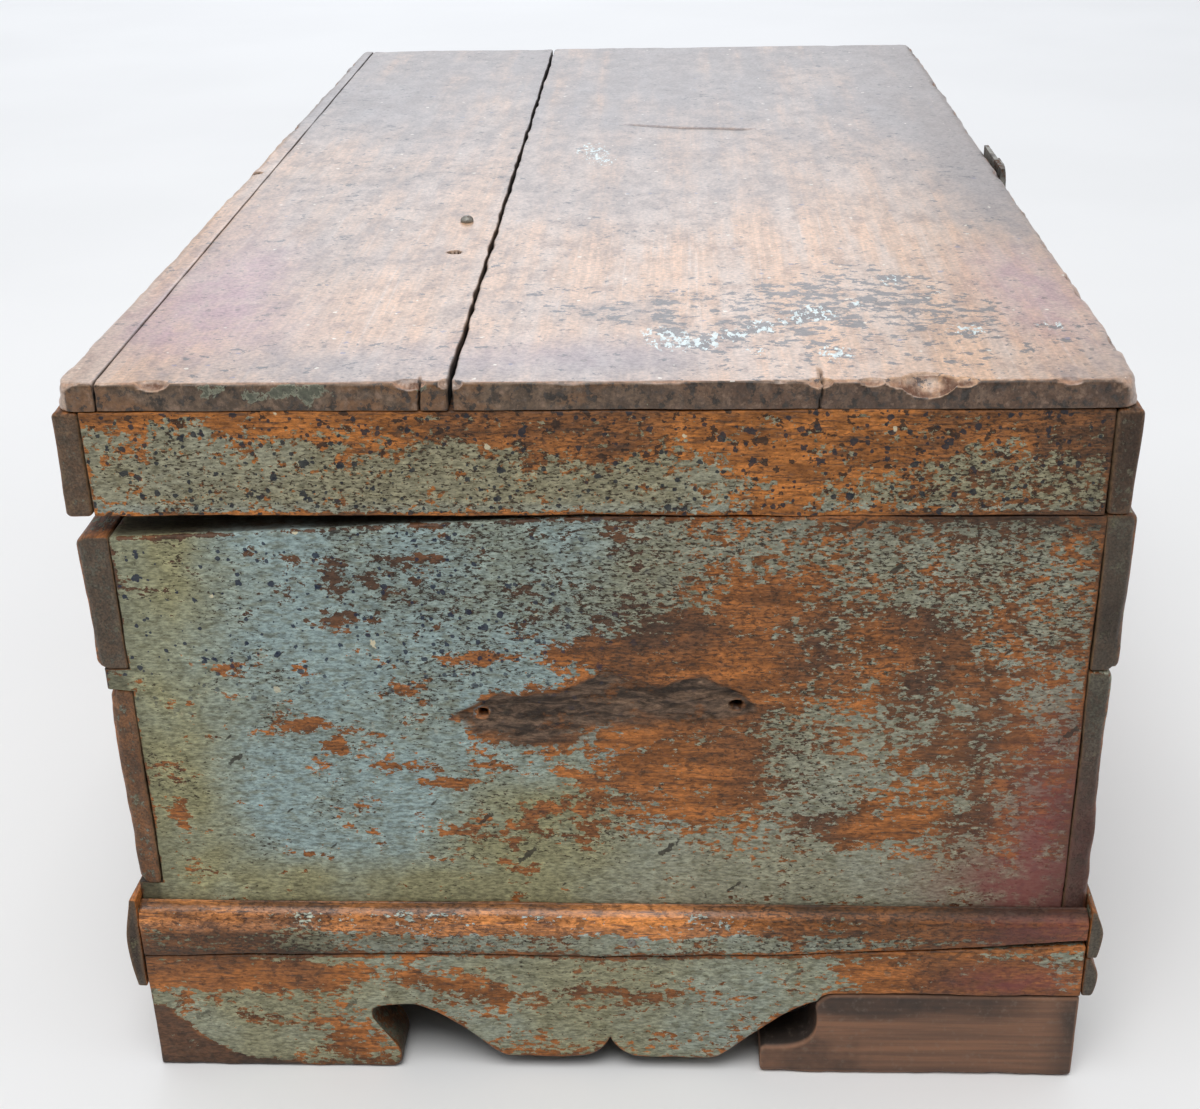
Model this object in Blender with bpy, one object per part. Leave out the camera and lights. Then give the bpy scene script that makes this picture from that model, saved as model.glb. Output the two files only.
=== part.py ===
"""A wooden money chest on a scrolled plinth, with a planked lid, iron hinges and a hasp.

Metres, +Z up. X runs along the chest, the front faces -Y, and the lid is hinged along the back, at +Y.
The floor is Z = 0 and the body is centred on the Z axis.
"""

import math

import bmesh
import bpy
from mathutils import Vector
from mathutils.geometry import interpolate_bezier

# Gap left between pieces that touch
FIT = 0.0003

# Body: boards and how they meet
BODY_LENGTH = 0.733
END_PANEL_WIDTH = 0.397
END_PANEL_T = 0.022
PLANK_T = 0.020
PLANK_END_GRAIN = 0.0102
UPPER_FRONT_PROUD = 0.0015
UPPER_BACK_PROUD = 0.0035
LOWER_PLANK_HEIGHT = 0.139
UPPER_PLANK_HEIGHT = 0.070
BACK_DROP = 0.0092
LEVEL_TOP_SHARE = 0.5164
MID_TAB_HEIGHT = 0.0092
BOTTOM_TAB_HEIGHT = 0.030
PLANK_ROUND = 0.004
BOARD_EASE = 0.001

# Bottom boards and the bearers under them
BOTTOM_T = 0.012
BOTTOM_JOINT = 0.001
BEARER_WIDTH = 0.045
BEARER_HEIGHT = 0.026
BEARER_FROM_END = 0.1055

# Plinth
PLINTH_HEIGHT = 0.066
PLINTH_PROUD = 0.009
END_APRON_T = 0.024
SIDE_APRON_T = 0.024
MOULDING_HEIGHT = 0.0217
BAND_T = 0.0065
BAND_TOP_T = 0.0025
BAND_FOOT_T = 0.005
BAND_TOP_RISE = 0.026
BAND_DEPTH = 0.021
BAND_ROUND = 0.002

# Scrolled edge of the aprons, measured outward from the middle of the apron and up from the floor
DROP_CLEARANCE = 0.007
CUSP_HEIGHT = 0.0115
CUSP_HALF_WIDTH = 0.015
END_FOOT_LENGTH = 0.101
FRONT_FOOT_LENGTH = 0.0992
OGEE_RUN = 0.046
EYE_TOP_Z = 0.036
EYE_DEPTH = 0.016
TOE_REACH = 0.012
TOE_ROUND = 0.005
PLAIN_FOOT_LENGTH = 0.110
PLAIN_ARCH_Z = 0.030
PLAIN_ARCH_ROUND = 0.012

# The plain block that took the place of a lost foot
BLOCK_CUT_DEPTH = 0.021
BLOCK_LENGTH = 0.141
BLOCK_TOE_Z = 0.0150
BLOCK_NECK_LENGTH = 0.1165
BLOCK_SHOULDER_ROUND = 0.008
BLOCK_MEET_ANGLE = 25

# Lid
LID_END_OVERHANG = 0.0005
LID_FRONT_SETBACK = 0.00105
LID_BACK_OVERHANG = 0.00455
LID_BOARD_T = 0.0115
LID_BOARD_INSET = 0.0018
LID_EDGE_ROUND = 0.005
LID_SKIRT_HEIGHT = 0.0445
LID_SKIRT_T = 0.016
LID_END_GRAIN = 0.0105
STRIP_NEAR_WIDTH = 0.0165
STRIP_FAR_WIDTH = 0.0085
BACK_BOARD_WIDTH = 0.1375
LID_JOINT_GAP = 0.002
BATTEN_WIDTH = 0.042
BATTEN_T = 0.014
BATTEN_FROM_END = 0.167
BATTEN_END_GAP = 0.006

# Hinges
HINGE_FROM_END = 0.152
LEAF_WIDTH = 0.054
LEAF_HEIGHT = 0.038
LEAF_T = 0.0024
KNUCKLE_R = 0.0042
MID_KNUCKLE_WIDTH = 0.020
PIN_R = 0.0018
PIN_PLAY = 0.00025
KNUCKLE_PLAY = 0.0005
PIN_HEAD_R = 0.0031
PIN_HEAD_T = 0.0020

# Hasp and staple
HASP_PLATE_WIDTH = 0.058
HASP_PLATE_HEIGHT = 0.0475
HASP_T = 0.0024
HASP_AXIS_RISE = 0.008
HASP_KNUCKLE_R = 0.0033
HASP_KNUCKLE_WIDTH = 0.024
HASP_STRAP_WIDTH = 0.036
HASP_STRAP_LENGTH = 0.045
HASP_PIN_R = 0.0014
HASP_STANDOFF = 0.0008
SLOT_WIDTH = 0.009
SLOT_LENGTH = 0.023
SLOT_TIP_WALL = 0.008
STAPLE_WIRE_R = 0.0022
STAPLE_HALF_SPAN = 0.0070
STAPLE_REACH = 0.008
STAPLE_DEPTH = 0.012

# Shares of a size that shape its curve
OGEE_FOOT_SHARE = 0.17
OGEE_HEAD_SHARE = 0.4
SCOOP_SHARE = 0.8
PIN_DOME_SHARE = 0.8
STRAP_TIP_SHARE = 0.6
SLOT_END_SHARE = 0.98

# Fineness of the curves, and what counts as the same place
ARC_STEPS = 4
CURVE_STEPS = 10
ROUND_SIDES = 20
WIRE_FACETS = 3
SHARP_DEGREES = 35
SAME_PLACE = 1e-6

# Places worked out from the sizes above
HALF_LENGTH = BODY_LENGTH / 2
HALF_PANEL = END_PANEL_WIDTH / 2
HALF_WIDTH = HALF_PANEL + FIT + PLANK_END_GRAIN
INNER_HALF_WIDTH = HALF_WIDTH - PLANK_T
INNER_HALF_LENGTH = HALF_LENGTH - END_PANEL_T
BODY_Z = PLINTH_HEIGHT + FIT
PLANK_JOINT_Z = BODY_Z + LOWER_PLANK_HEIGHT
FRONT_TOP_Z = PLANK_JOINT_Z + FIT + UPPER_PLANK_HEIGHT
BACK_TOP_Z = FRONT_TOP_Z - BACK_DROP
PLINTH_HALF_LENGTH = HALF_LENGTH + PLINTH_PROUD
SIDE_APRON_HALF = PLINTH_HALF_LENGTH - END_APRON_T - FIT
END_DROP_HALF = HALF_WIDTH - END_FOOT_LENGTH - OGEE_RUN - EYE_DEPTH
FRONT_DROP_HALF = SIDE_APRON_HALF - FRONT_FOOT_LENGTH - OGEE_RUN - EYE_DEPTH
BLOCK_HEIGHT = PLINTH_HEIGHT - BLOCK_CUT_DEPTH
BLOCK_TOE_HALF = HALF_WIDTH - BLOCK_LENGTH
BLOCK_NECK_HALF = HALF_WIDTH - BLOCK_NECK_LENGTH
BEARER_X = PLINTH_HALF_LENGTH - BEARER_FROM_END
FRONT_FACE_Y = -(HALF_WIDTH + UPPER_FRONT_PROUD)
BACK_FACE_Y = HALF_WIDTH + UPPER_BACK_PROUD

LID_Z = FRONT_TOP_Z + FIT
LID_BOARD_Z = LID_Z + LID_SKIRT_HEIGHT + FIT
LID_TOP_Z = LID_BOARD_Z + LID_BOARD_T
LID_HALF_LENGTH = HALF_LENGTH + LID_END_OVERHANG
LID_FRONT_Y = LID_FRONT_SETBACK - HALF_WIDTH
LID_BACK_Y = HALF_WIDTH + LID_BACK_OVERHANG
LID_INNER_HALF_LENGTH = LID_HALF_LENGTH - LID_SKIRT_T
BATTEN_X = LID_HALF_LENGTH - BATTEN_FROM_END
HINGE_X = LID_HALF_LENGTH - HINGE_FROM_END

HINGE_Z = (BACK_TOP_Z + LID_Z) / 2
HINGE_Y = max(LID_BACK_Y, BACK_FACE_Y) + FIT + KNUCKLE_R
HASP_Z = LID_Z + HASP_AXIS_RISE
HASP_FACE_Y = min(FRONT_FACE_Y - HASP_STANDOFF, LID_FRONT_Y - 2 * FIT - HASP_T)
HASP_Y = HASP_FACE_Y - HASP_T / 2
SLOT_RISE = HASP_STRAP_LENGTH - SLOT_TIP_WALL - SLOT_LENGTH / 2
STAPLE_Z = HASP_Z - SLOT_RISE


def clear_scene():
    """Removes whatever the open file holds."""
    for item in list(bpy.data.objects):
        bpy.data.objects.remove(item, do_unlink=True)


def make_finish(name, colour, roughness, metallic=0.0):
    """A Principled material of one colour."""
    finish = bpy.data.materials.new(name)
    finish.use_nodes = True
    shader = finish.node_tree.nodes["Principled BSDF"]
    shader.inputs["Base Color"].default_value = (*colour, 1.0)
    shader.inputs["Roughness"].default_value = roughness
    shader.inputs["Metallic"].default_value = metallic
    finish.diffuse_color = (*colour, 1.0)
    return finish


def make_empty(name, place, carrier=None):
    """An empty that stands on a joint's axis and carries the pieces that turn about it."""
    empty = bpy.data.objects.new(name, None)
    empty.parent = carrier
    empty.location = Vector(place) - carrier.location if carrier else Vector(place)
    bpy.context.collection.objects.link(empty)
    bpy.context.view_layer.update()
    return empty


def make_object(name, mesh_data, finish=None, carrier=None):
    """Puts a bmesh into the scene as a named object, hung on its carrier if it has one."""
    bmesh.ops.recalc_face_normals(mesh_data, faces=mesh_data.faces)
    mesh = bpy.data.meshes.new(name)
    mesh_data.to_mesh(mesh)
    mesh_data.free()
    mesh.shade_smooth()
    mesh.set_sharp_from_angle(angle=math.radians(SHARP_DEGREES))
    piece = bpy.data.objects.new(name, mesh)
    if finish:
        mesh.materials.append(finish)
    bpy.context.collection.objects.link(piece)
    if carrier:
        mesh.transform(carrier.matrix_world.inverted())
        piece.parent = carrier
    return piece


def arc(centre, radius, start, end, steps=ARC_STEPS):
    """Points on a circular arc between two angles in degrees, both ends included."""
    angles = [math.radians(start + (end - start) * i / steps) for i in range(steps + 1)]
    return [(centre[0] + radius * math.cos(a), centre[1] + radius * math.sin(a)) for a in angles]


def arc_through(first, middle, last, steps=CURVE_STEPS):
    """Points on the circle through three points, from the first to the last."""
    (ax, ay), (bx, by), (cx, cy) = first, middle, last
    a2 = ax * ax + ay * ay
    b2 = bx * bx + by * by
    c2 = cx * cx + cy * cy
    d = 2 * (ax * (by - cy) + bx * (cy - ay) + cx * (ay - by))
    ux = a2 * (by - cy) + b2 * (cy - ay) + c2 * (ay - by)
    uy = a2 * (cx - bx) + b2 * (ax - cx) + c2 * (bx - ax)
    centre = (ux / d, uy / d)
    start = math.degrees(math.atan2(ay - centre[1], ax - centre[0]))
    end = math.degrees(math.atan2(cy - centre[1], cx - centre[0]))
    turn = (end - start + 180) % 360 - 180
    return arc(centre, math.dist(first, centre), start, start + turn, steps)


def curve(first, handle_a, handle_b, last, steps=CURVE_STEPS):
    """Points on a Bezier curve between two points with their handles."""
    ends = [Vector((*p, 0)) for p in (first, handle_a, handle_b, last)]
    return [(p.x, p.y) for p in interpolate_bezier(*ends, steps + 1)]


def round_corners(corners):
    """An outline from (u, v, radius) corners, each rounded by an arc that both its sides touch."""
    outline = []
    count = len(corners)
    for i, (u, v, radius) in enumerate(corners):
        here = Vector((u, v))
        if radius <= 0:
            outline.append((u, v))
            continue
        before = (Vector(corners[i - 1][:2]) - here).normalized()
        after = (Vector(corners[(i + 1) % count][:2]) - here).normalized()
        half = before.angle(after) / 2
        centre = here + (before + after).normalized() * (radius / math.sin(half))
        touch_a = here + before * (radius / math.tan(half))
        touch_b = here + after * (radius / math.tan(half))
        middle = centre + (here - centre).normalized() * radius
        outline += arc_through(tuple(touch_a), tuple(middle), tuple(touch_b), ARC_STEPS)
    return outline


def extrude_outline(outline, axis, low, high, ease=0.0):
    """A closed solid from an outline in the plane square to an axis, with its end edges eased.

    The outline's two numbers are the other two axes in X, Y, Z order.
    """
    mesh_data = bmesh.new()
    first, second = [i for i in range(3) if i != axis]
    corners = []
    for u, v in outline:
        place = [0.0, 0.0, 0.0]
        place[first], place[second], place[axis] = u, v, low
        corners.append(mesh_data.verts.new(place))
    face = mesh_data.faces.new(corners)
    sweep = bmesh.ops.extrude_face_region(mesh_data, geom=[face])
    moved = [v for v in sweep["geom"] if isinstance(v, bmesh.types.BMVert)]
    step = Vector((0, 0, 0))
    step[axis] = high - low
    bmesh.ops.translate(mesh_data, verts=moved, vec=step)
    bmesh.ops.recalc_face_normals(mesh_data, faces=mesh_data.faces)
    if ease > 0:
        ends = [e for e in mesh_data.edges if abs(e.verts[0].co[axis] - e.verts[1].co[axis]) < SAME_PLACE]
        bmesh.ops.bevel(mesh_data, geom=ends, offset=ease, segments=1, affect="EDGES", clamp_overlap=True)
    return mesh_data


def box(low, high, ease=0.0):
    """A straight board between two corners, with all its edges eased."""
    mesh_data = bmesh.new()
    bmesh.ops.create_cube(mesh_data, size=1.0)
    for vert in mesh_data.verts:
        vert.co = [high[i] if vert.co[i] > 0 else low[i] for i in range(3)]
    if ease > 0:
        edges = mesh_data.edges[:]
        bmesh.ops.bevel(mesh_data, geom=edges, offset=ease, segments=2, affect="EDGES", clamp_overlap=True)
    return mesh_data


def cylinder(centre, axis, radius, length, sides=ROUND_SIDES):
    """A round bar about a centre, along X, Y or Z."""
    along = Vector((0, 0, 0))
    along[axis] = 1
    turn = along.to_track_quat("Z", "Y").to_matrix().to_4x4()
    mesh_data = bmesh.new()
    bmesh.ops.create_cone(
        mesh_data, cap_ends=True, segments=sides, radius1=radius, radius2=radius, depth=length
    )
    bmesh.ops.transform(mesh_data, verts=mesh_data.verts, matrix=turn)
    bmesh.ops.translate(mesh_data, verts=mesh_data.verts, vec=Vector(centre))
    return mesh_data


def combine(piece, tools, operation="DIFFERENCE"):
    """Cuts tool shapes from a piece, or joins them to it, and drops the tools."""
    for tool_data in tools:
        tool = make_object("tool", tool_data)
        change = piece.modifiers.new("change", "BOOLEAN")
        change.operation = operation
        change.solver = "EXACT"
        change.object = tool
        bpy.context.view_layer.update()
        changed = piece.evaluated_get(bpy.context.evaluated_depsgraph_get())
        shaped = bpy.data.meshes.new_from_object(changed)
        piece.modifiers.clear()
        old = piece.data
        piece.data = shaped
        shaped.name = piece.name
        bpy.data.meshes.remove(old)
        bpy.data.objects.remove(tool, do_unlink=True)
    piece.data.shade_smooth()
    piece.data.set_sharp_from_angle(angle=math.radians(SHARP_DEGREES))
    return piece


def build_end_panel(name, side, finish):
    """A wide end board: level top that falls to the back, and two tabs on the back edge."""
    tab_y = HALF_WIDTH
    joint_z = PLANK_JOINT_Z
    outline = [
        (-HALF_PANEL, BODY_Z),
        (tab_y, BODY_Z),
        (tab_y, BODY_Z + BOTTOM_TAB_HEIGHT),
        (HALF_PANEL, BODY_Z + BOTTOM_TAB_HEIGHT),
        (HALF_PANEL, joint_z - MID_TAB_HEIGHT),
        (tab_y, joint_z - MID_TAB_HEIGHT),
        (tab_y, joint_z),
        (HALF_PANEL, joint_z),
        (HALF_PANEL, BACK_TOP_Z),
        (LEVEL_TOP_SHARE * END_PANEL_WIDTH - HALF_PANEL, FRONT_TOP_Z),
        (-HALF_PANEL, FRONT_TOP_Z),
    ]
    faces = sorted((side * HALF_LENGTH, side * INNER_HALF_LENGTH))
    make_object(name, extrude_outline(outline, 0, *faces, BOARD_EASE), finish)


def build_plank(name, outer_y, low_z, high_z, tabs, finish):
    """A long wall board, rounded outside, rebated for the end panels and notched for their tabs.

    Each tab is the (low, high) height that the board gives up at its two ends.
    """
    back = outer_y > 0
    inner_y = INNER_HALF_WIDTH if back else -INNER_HALF_WIDTH
    rebate_y = HALF_PANEL + FIT if back else -HALF_PANEL - FIT
    outline = round_corners([
        (inner_y, low_z, 0),
        (outer_y, low_z, PLANK_ROUND),
        (outer_y, high_z, PLANK_ROUND),
        (inner_y, high_z, 0),
    ])
    plank_data = extrude_outline(outline, 0, -HALF_LENGTH, HALF_LENGTH, BOARD_EASE)
    plank = make_object(name, plank_data, finish)
    past = PLANK_T
    tools = []
    for side in (-1, 1):
        ends = sorted((side * (HALF_LENGTH + past), side * (INNER_HALF_LENGTH - FIT)))
        depth = sorted((rebate_y, inner_y - past if back else inner_y + past))
        tools.append(box((ends[0], depth[0], low_z - past), (ends[1], depth[1], high_z + past)))
        for tab_low, tab_high in tabs:
            span = sorted((inner_y, outer_y))
            low = (ends[0], span[0] - past, tab_low)
            high = (ends[1], span[1] + past, tab_high)
            tools.append(box(low, high))
    return combine(plank, tools)


def build_body(wood, bare_wood):
    """The four walls and the bottom."""
    build_end_panel("left_end_panel", -1, wood)
    build_end_panel("right_end_panel", 1, wood)
    upper_z = PLANK_JOINT_Z + FIT
    mid_tab = (PLANK_JOINT_Z - MID_TAB_HEIGHT - FIT, PLANK_JOINT_Z + PLANK_T)
    bottom_tab = (BODY_Z - PLANK_T, BODY_Z + BOTTOM_TAB_HEIGHT + FIT)
    build_plank("front_lower_plank", -HALF_WIDTH, BODY_Z, PLANK_JOINT_Z, [], wood)
    build_plank("back_lower_plank", HALF_WIDTH, BODY_Z, PLANK_JOINT_Z, [mid_tab, bottom_tab], wood)
    front_upper = build_plank("front_upper_plank", FRONT_FACE_Y, upper_z, FRONT_TOP_Z, [], wood)
    build_plank("back_upper_plank", BACK_FACE_Y, upper_z, BACK_TOP_Z, [], wood)
    leg_r = STAPLE_WIRE_R + FIT
    leg_length = 2 * (STAPLE_DEPTH + FIT)
    legs = [STAPLE_Z + side * STAPLE_HALF_SPAN for side in (-1, 1)]
    combine(front_upper, [cylinder((0, FRONT_FACE_Y, z), 1, leg_r, leg_length) for z in legs])

    names = ("bottom_front_board", "bottom_middle_board", "bottom_back_board")
    run = INNER_HALF_LENGTH - FIT
    width = (2 * (INNER_HALF_WIDTH - FIT) - (len(names) - 1) * BOTTOM_JOINT) / len(names)
    for i, name in enumerate(names):
        front = -INNER_HALF_WIDTH + FIT + i * (width + BOTTOM_JOINT)
        board = box((-run, front, BODY_Z), (run, front + width, BODY_Z + BOTTOM_T), BOARD_EASE)
        make_object(name, board, bare_wood)

    reach = HALF_WIDTH - SIDE_APRON_T - FIT
    for i, name in enumerate(("left_bearer", "middle_bearer", "right_bearer")):
        middle = (i - 1) * BEARER_X
        low = (middle - BEARER_WIDTH / 2, -reach, PLINTH_HEIGHT - BEARER_HEIGHT)
        high = (middle + BEARER_WIDTH / 2, reach, PLINTH_HEIGHT)
        make_object(name, box(low, high, BOARD_EASE), bare_wood)


def scroll_half(drop_half):
    """Half of a scrolled edge, from the cusp in the middle out to the toe of the bracket foot."""
    drop = DROP_CLEARANCE
    ogee_end = drop_half + OGEE_RUN
    eye_back = ogee_end + EYE_DEPTH
    eye_low = EYE_TOP_Z - TOE_ROUND
    toe = eye_back - TOE_REACH
    cusp_mid = (CUSP_HALF_WIDTH / 2, drop + CUSP_HEIGHT / 4)
    cusp = arc_through((0, drop + CUSP_HEIGHT), cusp_mid, (CUSP_HALF_WIDTH, drop))
    ogee = curve(
        (drop_half, drop),
        (drop_half + OGEE_RUN * OGEE_FOOT_SHARE, drop),
        (ogee_end - OGEE_RUN * OGEE_HEAD_SHARE, EYE_TOP_Z),
        (ogee_end, EYE_TOP_Z),
    )
    nose = curve(
        (ogee_end, EYE_TOP_Z),
        (ogee_end + EYE_DEPTH / 2, EYE_TOP_Z),
        (eye_back, EYE_TOP_Z),
        (eye_back, eye_low),
        ARC_STEPS,
    )
    neck_z = (eye_low + TOE_ROUND) / 2
    neck = curve((eye_back, eye_low), (eye_back, neck_z), (toe, neck_z), (toe, TOE_ROUND), CURVE_STEPS)
    foot = arc((toe + TOE_ROUND, TOE_ROUND), TOE_ROUND, 180, 270)
    return cusp + ogee + nose[1:] + neck[1:] + foot[1:]


def apron_outline(half_length, drop_half):
    """A whole scrolled apron with a bracket foot at each end."""
    half = scroll_half(drop_half)
    left = [(-u, v) for u, v in reversed(half[1:])]
    right_end = [(half_length, 0), (half_length, PLINTH_HEIGHT)]
    left_end = [(-half_length, PLINTH_HEIGHT), (-half_length, 0)]
    return [*left_end, *left, *half, *right_end]


def mended_outline():
    """The left end apron: a bracket foot at the back, a straight cut where the front foot was lost."""
    half = scroll_half(END_DROP_HALF)
    cut_z = BLOCK_HEIGHT + FIT
    shoulder_centre = (-BLOCK_NECK_HALF - BLOCK_SHOULDER_ROUND, BLOCK_HEIGHT - BLOCK_SHOULDER_ROUND)
    shoulder = arc(shoulder_centre, BLOCK_SHOULDER_ROUND + FIT, 90, BLOCK_MEET_ANGLE)
    rise = curve(
        shoulder[-1],
        (-END_DROP_HALF - OGEE_RUN * (1 - OGEE_HEAD_SHARE), EYE_TOP_Z),
        (-END_DROP_HALF - OGEE_RUN * OGEE_FOOT_SHARE, DROP_CLEARANCE),
        (-END_DROP_HALF, DROP_CLEARANCE),
    )
    cusp = [(-u, v) for u, v in reversed(half[1 : CURVE_STEPS + 1])]
    front = [*shoulder, *rise[1:], *cusp]
    back_end = [(HALF_WIDTH, 0), (HALF_WIDTH, PLINTH_HEIGHT)]
    front_end = [(-HALF_WIDTH, PLINTH_HEIGHT), (-HALF_WIDTH, cut_z)]
    return [*front, *half, *back_end, *front_end]


def block_outline():
    """The replaced foot: a plain block with a scooped toe."""
    neck = -BLOCK_NECK_HALF
    toe = -BLOCK_TOE_HALF
    shoulder_z = BLOCK_HEIGHT - BLOCK_SHOULDER_ROUND
    toe_top = toe - TOE_ROUND / 2
    reach = (BLOCK_NECK_HALF - BLOCK_TOE_HALF) * SCOOP_SHARE
    scoop = curve(
        (toe_top, BLOCK_TOE_Z),
        (toe_top - reach, BLOCK_TOE_Z - TOE_ROUND / 5),
        (neck - TOE_ROUND / 2, (BLOCK_TOE_Z + shoulder_z) / 2 - TOE_ROUND),
        (neck, shoulder_z),
    )
    shoulder = arc((neck - BLOCK_SHOULDER_ROUND, shoulder_z), BLOCK_SHOULDER_ROUND, 0, 90)
    toe_tip = (toe, BLOCK_TOE_Z - TOE_ROUND / 2)
    heel = round_corners([(toe, BLOCK_TOE_Z / 2, 0), (toe, 0, TOE_ROUND / 2), (-HALF_WIDTH, 0, 0)])[:-1]
    front_end = [(-HALF_WIDTH, BLOCK_HEIGHT), (-HALF_WIDTH, 0)]
    return [*reversed(heel[1:]), toe_tip, *scoop, *shoulder[1:], *front_end]


def band_outline(side, low_z, high_z, low_t, high_t):
    """The end shape of a side band: flat behind, swelling in front, rounded at the bottom."""
    back = side * (HALF_WIDTH + FIT)
    crest = (back + side * BAND_T, (low_z + high_z) / 2)
    foot = (back + side * low_t, low_z + BAND_ROUND)
    swell = arc_through(foot, crest, (back + side * high_t, high_z))
    return [(back, high_z), (back, low_z), (back + side * (low_t - BAND_ROUND), low_z), *swell]


def build_plinth(wood, bare_wood, block_wood):
    """The scrolled base, its mouldings and its bands."""
    inner = PLINTH_HALF_LENGTH - END_APRON_T
    left = extrude_outline(mended_outline(), 0, -PLINTH_HALF_LENGTH, -inner, BOARD_EASE)
    make_object("left_end_apron", left, wood)
    block = extrude_outline(block_outline(), 0, -PLINTH_HALF_LENGTH, -inner, BOARD_EASE)
    make_object("repair_foot_block", block, block_wood)
    end_scroll = apron_outline(HALF_WIDTH, END_DROP_HALF)
    right = extrude_outline(end_scroll, 0, inner, PLINTH_HALF_LENGTH, BOARD_EASE)
    make_object("right_end_apron", right, wood)
    inner_y = HALF_WIDTH - SIDE_APRON_T
    front_scroll = apron_outline(SIDE_APRON_HALF, FRONT_DROP_HALF)
    front = extrude_outline(front_scroll, 1, -HALF_WIDTH, -inner_y, BOARD_EASE)
    make_object("front_apron", front, wood)
    arch = SIDE_APRON_HALF - PLAIN_FOOT_LENGTH
    plain = round_corners([
        (-SIDE_APRON_HALF, PLINTH_HEIGHT, 0),
        (-SIDE_APRON_HALF, 0, 0),
        (-arch, 0, 0),
        (-arch, PLAIN_ARCH_Z, PLAIN_ARCH_ROUND),
        (arch, PLAIN_ARCH_Z, PLAIN_ARCH_ROUND),
        (arch, 0, 0),
        (SIDE_APRON_HALF, 0, 0),
        (SIDE_APRON_HALF, PLINTH_HEIGHT, 0),
    ])
    make_object("back_apron", extrude_outline(plain, 1, inner_y, HALF_WIDTH, BOARD_EASE), bare_wood)

    for name, side in (("left_end_moulding", -1), ("right_end_moulding", 1)):
        near = side * (HALF_LENGTH + FIT)
        radius = PLINTH_PROUD - FIT
        top = BODY_Z + MOULDING_HEIGHT
        nose = arc((0, top - radius), radius, 90, 0, CURVE_STEPS)
        front = [(near + side * u, v) for u, v in nose]
        outline = [(near, BODY_Z), *front, (near + side * radius, BODY_Z)]
        make_object(name, extrude_outline(outline, 1, -HALF_WIDTH, HALF_WIDTH, BOARD_EASE / 2), wood)

    top_z = BODY_Z + BAND_TOP_RISE
    foot_z = BODY_Z - BAND_DEPTH
    bands = {
        "front_upper_band": (-1, BODY_Z + FIT, top_z, BAND_FOOT_T, BAND_TOP_T),
        "front_lower_band": (-1, foot_z, BODY_Z, BAND_FOOT_T, BAND_FOOT_T),
        "back_band": (1, foot_z, top_z, BAND_FOOT_T, BAND_TOP_T),
    }
    for name, shape in bands.items():
        reach = PLINTH_HALF_LENGTH
        band = extrude_outline(band_outline(*shape), 0, -reach, reach, BOARD_EASE / 2)
        make_object(name, band, wood)


def top_edges(board):
    """The edges of a top plank that lie in its upper face."""
    return [e for e in board.edges if all(abs(v.co.z - LID_TOP_Z) < SAME_PLACE for v in e.verts)]


def build_lid_board(name, back_near, back_far, front_near, front_far, rounded, wood, carrier):
    """A top plank between two lines that run along the lid, with one long edge worn round or none.

    Near is the left end of the lid and far the right end.
    """
    outline = [
        (-LID_HALF_LENGTH, front_near),
        (LID_HALF_LENGTH, front_far),
        (LID_HALF_LENGTH, back_far),
        (-LID_HALF_LENGTH, back_near),
    ]
    board = extrude_outline(outline, 2, LID_BOARD_Z, LID_TOP_Z)
    if rounded:
        worn = [e for e in top_edges(board) if all(abs(v.co.y - rounded) < SAME_PLACE for v in e.verts)]
        bmesh.ops.bevel(board, geom=worn, offset=LID_EDGE_ROUND, segments=ARC_STEPS, affect="EDGES")
    ends = [e for e in top_edges(board) if abs(e.verts[0].co.x - e.verts[1].co.x) < SAME_PLACE]
    bmesh.ops.bevel(board, geom=ends, offset=BOARD_EASE, segments=1, affect="EDGES")
    make_object(name, board, wood, carrier)


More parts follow.
